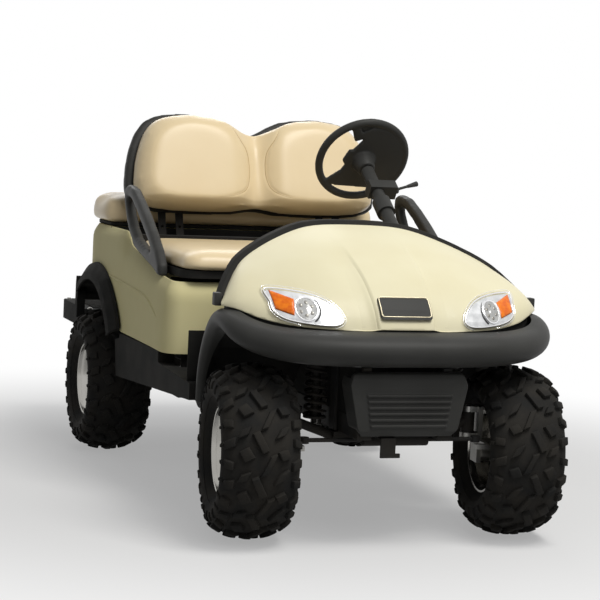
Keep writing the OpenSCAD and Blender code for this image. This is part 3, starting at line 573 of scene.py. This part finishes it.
def tread_spot(across, along, high):
    """Point on the tyre: across in degrees from the middle, along in metres, high above the groove floor."""
    a = math.radians(across)
    half, tall = TYRE_HALF - 0.009, TYRE_R - SIDE_R - GROOVE
    x, r = half * math.sin(a), SIDE_R + tall * math.cos(a)
    slope = Vector((math.sin(a) * tall, math.cos(a) * half)).normalized()
    x, r = x + slope.x * high, r + slope.y * high
    turn = along / TYRE_R
    return Vector((x, -r * math.cos(turn), r * math.sin(turn)))


# Columns: across, half width across, along in shares of a pair, half length, shear across, lean along, height
LUGS = [
    (-6, 4.6, 0.00, 0.030, 6.5, 0.004, 0.0150), (6, 4.6, 0.50, 0.030, -6.5, 0.004, 0.0150),
    (-26, 6.8, 0.27, 0.016, 4.5, 0.007, 0.0148), (26, 6.8, 0.77, 0.016, -4.5, 0.007, 0.0148),
    (-29, 7.0, 0.78, 0.013, -3.0, 0.005, 0.0146), (29, 7.0, 0.28, 0.013, 3.0, 0.005, 0.0146),
    (-55, 10.0, 0.02, 0.0145, 0.0, 0.006, 0.0135), (55, 10.0, 0.52, 0.0145, 0.0, 0.006, 0.0135),
    (-57, 9.0, 0.52, 0.013, 0.0, -0.004, 0.0130), (57, 9.0, 0.02, 0.013, 0.0, -0.004, 0.0130),
    (-85, 12.0, 0.02, 0.006, 0.0, 0.004, 0.0050), (85, 12.0, 0.52, 0.006, 0.0, 0.004, 0.0050),
    (-85, 12.0, 0.52, 0.006, 0.0, -0.004, 0.0050), (85, 12.0, 0.02, 0.006, 0.0, -0.004, 0.0050)
]
LUG_ROOT = -0.004
LUG_FOOT = 1.16
# Side of the tyre from its widest ring to its bead: distance from the wheel's middle, radius
TYRE_SIDE = [
    (0.1215, 0.186), (0.1165, 0.173), (0.1150, 0.170), (0.1120, 0.169), (0.1040, 0.158), (0.0960, 0.151),
    (0.0930, 0.1475), (0.0905, 0.1436), (0.0810, 0.1432)
]


def tread_block(lug):
    """One rubber block with its edges rounded."""
    across, wide, share, reach, shear, lean, high = lug
    work = bmesh.new()
    bmesh.ops.create_cube(work, size=2)
    lines = [e for e in work.edges if abs(e.verts[0].co.x - e.verts[1].co.x) > 1]
    bmesh.ops.subdivide_edges(work, edges=lines, cuts=2, use_grid_fill=True)
    for v in work.verts:
        i, j, k = v.co
        taper = 1.0 if k > 0 else LUG_FOOT
        along = share * PITCH_LENGTH + (j * reach + lean * i) * taper
        v.co = tread_spot(across + (i * wide + shear * j) * taper, along, high if k > 0 else LUG_ROOT)
    bmesh.ops.recalc_face_normals(work, faces=work.faces)
    rounded(work, [e for e in work.edges if e.calc_face_angle(0) > 0.9], 0.0022)
    return work


def tyre_mesh():
    work = bmesh.new()
    for lug in LUGS:
        joined(work, tread_block(lug))
    bmesh.ops.spin(work, geom=work.verts[:] + work.edges[:] + work.faces[:], cent=(0, 0, 0),
                   axis=(1, 0, 0), dvec=(0, 0, 0), angle=2 * math.pi * (PAIRS - 1) / PAIRS,
                   steps=PAIRS - 1, use_duplicate=True)
    # Carcass from bead to bead
    ring = [tread_spot(a, 0, 0) for a in range(-90, 91, 6)]
    left = [Vector((-x, -r, 0)) for x, r in TYRE_SIDE]
    right = [Vector((x, -r, 0)) for x, r in TYRE_SIDE]
    turned(work, left[::-1] + ring + right, 120, closed=True)
    return work


# Columns: distance along the axle from the wheel's middle, radius
RIM_LINE = [
    (0.0905, 0.1424), (0.0925, 0.1410), (0.0928, 0.1375), (0.0905, 0.1348), (0.0850, 0.1335),
    (0.0790, 0.1310), (0.0740, 0.1215), (0.0700, 0.1185), (0.0300, 0.1165), (0.0230, 0.1150),
    (0.0180, 0.1090), (0.0175, 0.1010), (0.0160, 0.0820), (0.0150, 0.0760), (0.0120, 0.0730),
    (0.0070, 0.0700), (0.0060, 0.0480), (0.0085, 0.0450), (0.0270, 0.0430), (0.0310, 0.0405),
    (0.0320, 0.0300), (0.0338, 0.0150), (0.0340, 0.0000)
]
RIM_BACK = [
    (-0.0340, 0.0165), (-0.0340, 0.0440), (-0.0070, 0.0450), (-0.0060, 0.0690), (0.0020, 0.0900),
    (0.0060, 0.1120), (0.0030, 0.1160), (-0.0760, 0.1170), (-0.0860, 0.1310), (-0.0925, 0.1345),
    (-0.0930, 0.1410), (-0.0905, 0.1420)
]
NUTS = 4
# Place of a wheel nut: along the axle, radius of the nuts' circle
NUT_AT = (0.0145, 0.0575)


def rim_mesh():
    work = dish(RIM_LINE[::-1] + RIM_BACK[::-1], 96)
    for k in range(NUTS):
        nut = bmesh.new()
        bmesh.ops.create_cone(nut, cap_ends=True, segments=6, radius1=0.0115, radius2=0.0095, depth=0.016)
        rounded(nut, nut.edges[:], 0.0012)
        turn = Matrix.Rotation(math.radians(45 + 360 / NUTS * k), 4, "X")
        place = Matrix.Translation((NUT_AT[0], 0, NUT_AT[1])) @ Matrix.Rotation(math.pi / 2, 4, "Y")
        bmesh.ops.transform(nut, verts=nut.verts, matrix=turn @ place)
        joined(work, nut)
    return work


def wheel(corner):
    """Tyre and rim, turned as the wheel's axle is parked, with the rim's face outward."""
    tyre, rim = "tyre_" + corner, "rim_" + corner
    low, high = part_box(tyre)
    axle = JOINTS["spin_" + corner]["axis"]
    turn = math.atan2(axle[1], axle[0]) + (0 if corner.endswith("left") else math.pi)
    place = Matrix.Translation((low + high) / 2) @ Matrix.Rotation(turn, 4, "Z")
    for node, work in ((tyre, tyre_mesh()), (rim, rim_mesh())):
        bmesh.ops.transform(work, matrix=place, verts=work.verts)
        smooth_by_angle(show(work, node + "_full", node), 35)


for corner in ("front_left", "front_right", "rear_left", "rear_right"):
    wheel(corner)


# Pieces that lie on the cowl

COWL = skin_of(NODES["front_cowl"])
BACKWARD = Vector((0, 1, 0))


def on_cowl(x, z, lift):
    """A point in front of the cowl, lift above its surface."""
    def hit(i, k):
        return COWL.ray_cast(Vector((x + i, -3, z + k)), BACKWARD)[0]
    spot = hit(0, 0)
    across, up = [hit(0.008, 0), hit(-0.008, 0)], [hit(0, 0.006), hit(0, -0.006)]
    if spot is None or None in across + up:
        spot, normal, _, _ = COWL.find_nearest(Vector((x, FRONT_AXLE - 0.1, z)))
        return spot + normal * lift
    normal = (across[0] - across[1]).cross(up[0] - up[1]).normalized()
    return spot + normal * (lift if normal.y < 0 else -lift)


# Outline of the right lamp as seen from the front: across, up
LAMP = [
    (-0.204, 0.714), (-0.224, 0.746), (-0.258, 0.770), (-0.304, 0.784), (-0.364, 0.791), (-0.412, 0.791),
    (-0.420, 0.781), (-0.410, 0.756), (-0.406, 0.732), (-0.382, 0.713), (-0.340, 0.702), (-0.270, 0.695),
    (-0.222, 0.697)
]
LAMP_RISE = 0.007
BOWL_AT = (-0.311, 0.738)
# Sections of the lamp's round pieces: height over the lamp's face, radius
RING_LINE = [(0.0002, 0.0345), (0.0028, 0.0340), (0.0036, 0.0325), (0.0032, 0.0308), (0.0014, 0.0300),
             (0.0002, 0.0298)]
BOWL_LINE = [(0.0001, 0.0300), (0.0008, 0.0296), (0.0005, 0.0240), (0.0004, 0.0160), (0.0006, 0.0090),
             (0.0014, 0.0070), (0.0022, 0.0040), (0.0024, 0.0)]
SOCKET_LINE = [(0.0004, 0.0052), (0.0014, 0.0046), (0.0018, 0.0030), (0.0019, 0.0)]
SOCKETS = 6
SHADOW_ARC_STEPS = 18


def lamp_line(inset):
    """The lamp's outline, drawn in by some length."""
    line = between([(x, 0, z) for x, z in LAMP], 5, closed=True)
    n = len(line)
    drawn = []
    for k in range(n):
        along = (line[(k + 1) % n] - line[k - 1]).normalized()
        drawn.append(line[k] + Vector((-along.z, 0, along.x)) * -inset)
    return drawn


def lamp_bead(inset, lift, radius):
    return wire([on_cowl(p.x, p.z, lift) for p in lamp_line(inset)], radius, closed=True)


def round_bowl(reach, degrees):
    """A spot round the lamp's bowl, as seen from the front."""
    turn = math.radians(degrees)
    return BOWL_AT[0] + reach * math.cos(turn), BOWL_AT[1] + reach * math.sin(turn)


def laid(work, middle, lift):
    """Lays a piece that was turned about X on the cowl, round a spot as seen from the front."""
    for v in work.verts:
        high, i, k = v.co
        v.co = on_cowl(middle[0] + i, middle[1] + k, lift + high)
    bmesh.ops.recalc_face_normals(work, faces=work.faces)
    return work


def lamp_details():
    bezel = lamp_bead(0.0005, LAMP_RISE - 0.0005, 0.0026)
    joined(bezel, lamp_bead(0.0075, LAMP_RISE, 0.0009))
    detail(both_sides(bezel), "lamp_bezels", "head_lamps", 60, CHROME)
    ring = laid(dish(RING_LINE, 48, closed=True), BOWL_AT, LAMP_RISE)
    detail(both_sides(ring), "lamp_rings", "head_lamps", 50, CHROME)
    bowl = laid(dish(BOWL_LINE, 48), BOWL_AT, LAMP_RISE)
    detail(both_sides(bowl), "lamp_bowls", "head_lamps", 50, BOWL)
    dots = bmesh.new()
    for k in range(SOCKETS):
        joined(dots, laid(dish(SOCKET_LINE, 16), round_bowl(0.0185, 360 / SOCKETS * k + 25), LAMP_RISE))
    detail(both_sides(dots), "lamp_sockets", "head_lamps", 50, ZINC)
    # Dark arc at the bowl's inner side, in the battery case's black: painted shadow of the lamp's bowl
    arc = [on_cowl(*round_bowl(0.0395, -58 + 6 * k), LAMP_RISE + 0.0006) for k in range(SHADOW_ARC_STEPS)]
    last = SHADOW_ARC_STEPS - 1
    painted_shadow = wire(arc, 0.0030, thin=[0.3 + 0.7 * min(1, (last - k) / 9) for k in range(SHADOW_ARC_STEPS)])
    detail(both_sides(painted_shadow), "lamp_painted_shadows", "head_lamps", 50, CASE)


def cowl_skirt():
    """Inner wall that closes the slit between the cowl's lower edge and the bumper."""
    middle = Vector((0, FRONT_AXLE + 0.35, 0))
    inset, rise, depth = 0.012, 0.012, 0.060
    edge = []
    for k in range(-56, 57):
        heights = [0.80 - 0.002 * step for step in range(100)]
        drops = [COWL.ray_cast(Vector((0.01 * k, -3, z)), BACKWARD)[0] for z in heights]
        drops = [spot for spot in drops if spot and spot.y < FRONT_AXLE + 0.25]
        if drops:
            edge.append(min(drops, key=lambda spot: spot.z))
    work = bmesh.new()
    bmesh.ops.create_grid(work, x_segments=len(edge) - 1, y_segments=3, size=1)
    for v in work.verts:
        spot = edge[round((v.co.x + 1) / 2 * (len(edge) - 1))]
        inward = Vector((middle.x - spot.x, middle.y - spot.y, 0)).normalized()
        v.co = spot + inward * inset + Vector((0, 0, rise - depth * (1 - v.co.y) / 2))
    walled(detail(work, "cowl_skirt", "front_bumper", 60, BLACK), 0.003, 0)


# Corners of the amber lens: outer top, inner top, inner bottom, outer bottom
AMBER_CORNERS = ((-0.4075, 0.7855), (-0.3420, 0.7640), (-0.3480, 0.7180), (-0.4000, 0.7340))


def amber_lenses():
    work = bmesh.new()
    bmesh.ops.create_grid(work, x_segments=14, y_segments=10, size=1)
    top0, top1, low1, low0 = [Vector(c) for c in AMBER_CORNERS]
    for v in work.verts:
        i, k = v.co.x, v.co.y
        share = (i + 1) / 2
        flat = top0.lerp(top1, share).lerp(low0.lerp(low1, share), (1 - k) / 2)
        v.co = on_cowl(flat.x, flat.y, LAMP_RISE + 0.0002 + 0.0020 * (1 - i ** 8) * (1 - k ** 8))
    walled(detail(both_sides(work), "amber_inserts", "turn_lenses", 50, AMBER), 0.0012, 1)


def plate_edging():
    """Pale edging of the blank plate."""
    half_w, half_h, corner, middle_z = 0.086 - 0.0035, 0.031 - 0.0035, 0.008, 0.751
    line = []
    for i, k, start in ((1, 1, 0), (-1, 1, 90), (-1, -1, 180), (1, -1, 270)):
        for step in range(7):
            t = math.radians(start + 15 * step)
            x = (half_w - corner) * i + corner * math.cos(t)
            line.append(Vector((x, middle_z + (half_h - corner) * k + corner * math.sin(t))))
    full = []
    for a, b in zip(line, line[1:] + line[:1]):
        steps = max(1, round((b - a).length / 0.012))
        full += [a.lerp(b, k / steps) for k in range(steps)]
    bead = wire([on_cowl(p.x, p.y, 0.0082) for p in full], 0.0019, closed=True)
    detail(bead, "plate_edging", "front_plate", 60, EDGING)


lamp_details()
cowl_skirt()
amber_lenses()
plate_edging()


# Trim and fittings

# Crease along the body's side: along the cart, up
CREASE = [
    (0.400, 0.7045), (0.222, 0.6995), (0.058, 0.692), (-0.097, 0.6845), (-0.165, 0.679), (-0.215, 0.667),
    (-0.262, 0.650), (-0.305, 0.634), (-0.335, 0.620)
]
BODY = skin_of(NODES["rear_body"])


def body_crease():
    line = []
    for p in between([(0, y, z) for y, z in CREASE], 5):
        spot, normal, _, _ = BODY.ray_cast(Vector((-1, p.y, p.z)), Vector((1, 0, 0)))
        line.append(spot - normal * 0.0022)
    n = len(line) - 1
    bead = wire(line, 0.0065, thin=[min(1, 0.55 + k / 4, 0.3 + (n - k) / 10) for k in range(n + 1)])
    detail(both_sides(bead), "body_creases", "rear_body", 70)


SPRING_X = 0.232
SPRING_R, SPRING_LOW, SPRING_RISE = 0.0325, 0.394, 0.150
SPRING_TURNS, SPRING_STEPS = 6, 20
# Round pieces under, inside and over a spring: lower end, upper end, radius
SPRING_POSTS = [
    (0.3706, 0.3866, 0.008), (0.3860, 0.3930, 0.037), (0.3930, 0.5500, 0.015), (0.5460, 0.5657, 0.030)
]


def coil_springs():
    """Front coil springs on their seats."""
    work = bmesh.new()
    count = SPRING_TURNS * SPRING_STEPS
    coil = []
    for k in range(count + 1):
        t = 2 * math.pi * k / SPRING_STEPS
        coil.append(Vector((SPRING_X + SPRING_R * math.cos(t), FRONT_AXLE + SPRING_R * math.sin(t),
                            SPRING_LOW + SPRING_RISE * k / count)))
    joined(work, wire(coil, 0.0052))
    for low, high, r in SPRING_POSTS:
        post = bmesh.new()
        bmesh.ops.create_cone(post, cap_ends=True, segments=28, radius1=r, radius2=r, depth=high - low)
        rounded(post, post.edges[:], 0.0008, segments=1)
        bmesh.ops.translate(post, verts=post.verts, vec=(SPRING_X, FRONT_AXLE, (low + high) / 2))
        joined(work, post)
    smooth_by_angle(show(both_sides(work), "front_springs_coils", "front_springs", STEEL), 40)


def step_ribs():
    """Grip ribs across the rear step."""
    low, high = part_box("rear_step")
    count, side_gap, end_gap = 13, 0.09, 0.06
    work = bmesh.new()
    for k in range(count):
        rib = bmesh.new()
        bmesh.ops.create_cube(rib, size=1)
        bmesh.ops.scale(rib, vec=(high.x - low.x - side_gap, 0.012, 0.006), verts=rib.verts)
        rounded(rib, [e for e in rib.edges if all(v.co.z > 0 for v in e.verts)], 0.0025)
        y = low.y + end_gap + (high.y - low.y - 2 * end_gap) * k / (count - 1)
        bmesh.ops.translate(rib, verts=rib.verts, vec=(0, y, high.z + 0.001))
        joined(work, rib)
    detail(work, "step_ribs", "rear_step", 40)


def tail_rims():
    """Bright rims round the tail lamps."""
    low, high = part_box("tail_lamps")
    r = (high.z - low.z) / 2
    middle = Vector((high.x - r, high.y - 0.006, (low.z + high.z) / 2))
    turns = [2 * math.pi * k / 40 for k in range(40)]
    rim = wire([middle + Vector((r * math.cos(t), 0, r * math.sin(t))) for t in turns], 0.0035, closed=True)
    detail(both_sides(rim), "tail_rims", "tail_lamps", 60, CHROME)


def boards(node, name, rows, edge, mat=None):
    """Flat boards with rounded edges; columns are the least and the most of x, y and z."""
    work = bmesh.new()
    for x0, x1, y0, y1, z0, z1 in rows:
        board = bmesh.new()
        bmesh.ops.create_cube(board, size=1)
        bmesh.ops.scale(board, vec=(x1 - x0, y1 - y0, z1 - z0), verts=board.verts)
        middle = ((x0 + x1) / 2, (y0 + y1) / 2, (z0 + z1) / 2)
        bmesh.ops.translate(board, vec=middle, verts=board.verts)
        rounded(board, board.edges[:], edge)
        joined(work, board)
    detail(work, name, node, 40, mat)


def seat_deck():
    """Deck and upright behind the bench, inside the body."""
    deck_z, wall_y, half, thick = 0.796, 0.506, 0.546, 0.006
    deck = (-half, half, 0.246, wall_y, deck_z, deck_z + thick)
    upright = (-half, half, wall_y, wall_y + thick, deck_z, 0.887)
    boards("rear_body", "seat_deck", [deck, upright], 0.0015, DULL)


def trim_clips():
    """Blocks that clip the lower ends of the dash trim."""
    x, half = 0.543, 0.012
    rows = [(i * x - half, i * x + half, -1.004, -0.970, 0.730, 0.772) for i in (-1, 1)]
    boards("dash", "trim_clips", rows, 0.004, BLACK)


def splash_guards():
    """Upright boards on the rockers, behind the front wheels."""
    x, half = 0.516, 0.046
    rows = [(i * x - half, i * x + half, -0.740, -0.734, 0.450, 0.622) for i in (-1, 1)]
    boards("rockers", "splash_guards", rows, 0.002)


def wheel_web():
    """Web between the steering wheel's board and its ring, at the top."""
    joint = JOINTS["steering_wheel_turn"]
    hub, right = Vector(joint["pos_m"]), Vector((1, 0, 0))
    down = Vector(joint["axis"]).cross(right)
    top, spread, reach, half = -96, 17, 0.140, 0.028
    work = bmesh.new()
    bmesh.ops.create_grid(work, x_segments=10, y_segments=4, size=1)
    for v in work.verts:
        turn = math.radians(top + spread * v.co.x)
        v.co = hub + (right * math.cos(turn) + down * math.sin(turn)) * (reach + half * v.co.y)
    web = detail(work, "wheel_web", "steering_wheel", 45, BLACK)
    walled(web, 0.010, 0)
    soft = web.modifiers.new("soft", "BEVEL")
    soft.width = 0.0025
    soft.segments = 2


def step_bolts():
    """Hexagon bolts with washers at the rear step's corners."""
    low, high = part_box("rear_step")
    side_gap, end_gap, rise = 0.024, 0.03, 0.0028
    work = bmesh.new()
    for i in (-1, 1):
        for y in (low.y + end_gap, high.y - end_gap):
            bolt = bmesh.new()
            bmesh.ops.create_cone(bolt, cap_ends=True, segments=6, radius1=0.0090, radius2=0.0082,
                                  depth=0.006)
            rounded(bolt, bolt.edges[:], 0.0009)
            washer = bmesh.new()
            bmesh.ops.create_cone(washer, cap_ends=True, segments=20, radius1=0.0125, radius2=0.0120,
                                  depth=0.0016)
            bmesh.ops.translate(washer, vec=(0, 0, -0.0028), verts=washer.verts)
            joined(bolt, washer)
            place = (i * (high.x - side_gap), y, high.z + rise)
            bmesh.ops.translate(bolt, vec=place, verts=bolt.verts)
            joined(work, bolt)
    detail(work, "step_bolts", "rear_step", 35, ZINC)


body_crease()
coil_springs()
step_ribs()
tail_rims()
seat_deck()
trim_clips()
splash_guards()
wheel_web()
step_bolts()


# Shells and frame pieces made from the frame's own solids

def flowing(node, levels):
    """A lofted node made smooth, with its sharp rims kept."""
    work = solid_of(node)
    layer = work.edges.layers.float.new("crease_edge")
    for edge in work.edges:
        if edge.calc_face_angle(0) > math.radians(50):
            edge[layer] = 0.85
    bmesh.ops.join_triangles(work, faces=work.faces, angle_face_threshold=math.radians(60),
                             angle_shape_threshold=math.radians(60))
    obj = show(work, node + "_flowing", node)
    subdivided(obj, levels)
    smooth_by_angle(obj, 60)
    return obj


def moulded(node, cell, rounds, swell):
    """A node with its edges rubbed round, as blow-moulded plastic has them."""
    obj = show(solid_of(node), node + "_moulded", node)
    voxelled(obj, cell)
    work = bmesh.new()
    work.from_mesh(obj.data)
    work.normal_update()
    for vert in work.verts:
        vert.co += vert.normal * swell
    rubbed(work, rounds)
    work.to_mesh(obj.data)
    work.free()
    smooth_by_angle(obj, 70)
    return obj


def eased(node, width):
    """A node with its hard edges rounded."""
    work = solid_of(node)
    bmesh.ops.dissolve_limit(work, angle_limit=math.radians(1.0), verts=work.verts, edges=work.edges)
    obj = show(work, node + "_eased", node)
    soft = obj.modifiers.new("round", "BEVEL")
    soft.width = width
    soft.segments = 2
    soft.limit_method = "ANGLE"
    soft.angle_limit = math.radians(28)
    soft.use_clamp_overlap = True
    smooth_by_angle(obj, 40)


def hood_creases(obj):
    """Sinks the hood beside its raised middle, along two creases that fade out toward the top."""
    crease_x, lean, slope, depth = 0.1045, 0.045, 0.016, 0.0065
    settled(obj)
    work = bmesh.new()
    work.from_mesh(obj.data)
    near = [f for f in work.faces if 0.06 < abs(f.calc_center_median().x) < 0.16]
    edges = list({e for f in near for e in f.edges})
    bmesh.ops.subdivide_edges(work, edges=edges, cuts=1, use_grid_fill=True)
    work.normal_update()
    for v in work.verts:
        along = v.co.y - FRONT_AXLE
        if v.normal.z - v.normal.y < 0.3:
            continue
        past = abs(v.co.x) - (crease_x + lean * along)
        low_down = smooth_share((0.20 - along) / 0.24)
        beside = smooth_share(0.5 + past / slope) * (1 - smooth_share((past - 0.01) / 0.12))
        v.co -= v.normal * depth * low_down * beside
    work.to_mesh(obj.data)
    work.free()
    smooth_by_angle(obj, 60)


SHELL_HEM, SHELL_RISE, SHELL_WIDER = 0.065, 0.018, 1.012


def lifted_hem(obj):
    """Draws the backrest shell's lower edge up, and its rim out past the cushion's sides and top."""
    back = BACK_PLACE.inverted()
    for v in obj.data.vertices:
        spot = back @ v.co
        if spot.z < SHELL_HEM:
            spot.z = SHELL_HEM - (SHELL_HEM - spot.z) * 0.5
        else:
            spot.z += SHELL_RISE * smooth_share((spot.z - SHELL_HEM) / 0.30)
        spot.x *= SHELL_WIDER
        v.co = BACK_PLACE @ spot


hood_creases(flowing("front_cowl", 2))
flowing("front_bumper", 2)
flowing("rear_body", 1)
moulded("armrests", 0.006, 8, 0.0015)
moulded("front_cover", 0.0022, 3, 0.0006)
moulded("steering_wheel", 0.0035, 5, 0.0008)
lifted_hem(moulded("backrest_shell", 0.008, 8, 0.001))
# Columns: node, width of its rounded edges
EASED = [
    ("dash", 0.004), ("rockers", 0.006), ("floor_pan", 0.0015), ("rear_flares", 0.004), ("rear_step", 0.006),
    ("seat_pan", 0.004), ("rear_seat_base", 0.003), ("cross_members", 0.002), ("frame_rail_left", 0.004),
    ("frame_rail_right", 0.004), ("tow_strap", 0.0015), ("backrest_bars", 0.0012), ("seat_hinges", 0.0012),
    ("front_axle", 0.002), ("knuckle_left", 0.002), ("knuckle_right", 0.002), ("tie_rod", 0.001),
    ("rear_axle", 0.003), ("motor", 0.004), ("rear_springs", 0.001), ("rear_dampers", 0.001),
    ("front_dampers", 0.001), ("battery_pack", 0.006), ("steering_column", 0.002), ("column_lever", 0.003),
    ("pedals", 0.002), ("wheel_liners", 0.001), ("tail_lamps", 0.004)
]
for part, width in EASED:
    eased(part, width)


# Stage and light

def white_for_lens(tree, plain):
    """A mix of a shader with white, and a mask of the rays that see the white: lens, shiny, clear."""
    path = tree.nodes.new("ShaderNodeLightPath")
    total = path.outputs["Is Camera Ray"]
    for ray in ("Is Glossy Ray", "Is Transmission Ray"):
        more = tree.nodes.new("ShaderNodeMath")
        more.operation = "MAXIMUM"
        tree.links.new(total, more.inputs[0])
        tree.links.new(path.outputs[ray], more.inputs[1])
        total = more.outputs[0]
    mix = tree.nodes.new("ShaderNodeMixShader")
    tree.links.new(plain, mix.inputs[1])
    return mix, total


# Floor round the cart: where its fade to white starts and ends, least share of white
FADE_NEAR, FADE_FAR, LEAST_WHITE = 1.1, 3.2, 0.36


def pale_floor():
    """Floor that fades to white round the cart and keeps the cart's shadow."""
    work = bmesh.new()
    bmesh.ops.create_grid(work, x_segments=1, y_segments=1, size=60)
    data = bpy.data.meshes.new("floor")
    work.to_mesh(data)
    work.free()
    floor = bpy.data.objects.new("floor", data)
    bpy.context.scene.collection.objects.link(floor)
    mat, nodes, links, shader = new_material("pale_floor")
    shader.inputs["Base Color"].default_value = (0.55, 0.55, 0.55, 1)
    shader.inputs["Roughness"].default_value = 0.95
    shader.inputs["Specular IOR Level"].default_value = 0.0
    mix, lens = white_for_lens(mat.node_tree, shader.outputs["BSDF"])
    white = nodes.new("ShaderNodeEmission")
    place = nodes.new("ShaderNodeTexCoord")
    reach = nodes.new("ShaderNodeVectorMath")
    reach.operation = "LENGTH"
    fade = nodes.new("ShaderNodeMapRange")
    fade.interpolation_type = "SMOOTHSTEP"
    fade.inputs["From Min"].default_value = FADE_NEAR
    fade.inputs["From Max"].default_value = FADE_FAR
    fade.inputs["To Min"].default_value = LEAST_WHITE
    both = nodes.new("ShaderNodeMath")
    both.operation = "MULTIPLY"
    links.new(place.outputs["Object"], reach.inputs[0])
    links.new(reach.outputs["Value"], fade.inputs["Value"])
    links.new(fade.outputs["Result"], both.inputs[0])
    links.new(lens, both.inputs[1])
    links.new(both.outputs[0], mix.inputs["Fac"])
    links.new(white.outputs["Emission"], mix.inputs[2])
    links.new(mix.outputs["Shader"], nodes["Material Output"].inputs["Surface"])
    data.materials.append(mat)


def white_surround():
    """World that looks white and gives a weak even light."""
    world = bpy.data.worlds.new("studio")
    bpy.context.scene.world = world
    world.use_nodes = True
    tree = world.node_tree
    glow = tree.nodes["Background"]
    glow.inputs["Color"].default_value = (0.97, 0.98, 1.0, 1)
    glow.inputs["Strength"].default_value = 0.18
    plain = tree.nodes.new("ShaderNodeBackground")
    plain.inputs["Color"].default_value = (1, 1, 1, 1)
    plain.inputs["Strength"].default_value = 1.0
    mix, lens = white_for_lens(tree, glow.outputs["Background"])
    tree.links.new(lens, mix.inputs["Fac"])
    tree.links.new(plain.outputs["Background"], mix.inputs[2])
    tree.links.new(mix.outputs["Shader"], tree.nodes["World Output"].inputs["Surface"])


def soft_box(name, place, aim, size, power, tint=(1, 1, 1)):
    data = bpy.data.lights.new(name, "AREA")
    data.size = size
    data.energy = power
    data.color = tint
    obj = bpy.data.objects.new(name, data)
    bpy.context.scene.collection.objects.link(obj)
    obj.location = place
    obj.rotation_mode = "QUATERNION"
    obj.rotation_quaternion = (Vector(aim) - Vector(place)).to_track_quat("-Z", "Y")


pale_floor()
white_surround()
soft_box("key", (1.3, -3.0, 5.9), (0, -0.3, 0.7), 2.6, 305, (1.0, 0.985, 0.955))
soft_box("fill", (0.1, -4.8, 4.4), (0, -0.5, 0.8), 2.4, 62)
soft_box("back", (0.5, 4.5, 4.0), (0, 0.3, 0.9), 3.0, 70)
place_camera()
bpy.context.scene.view_settings.view_transform = "Standard"
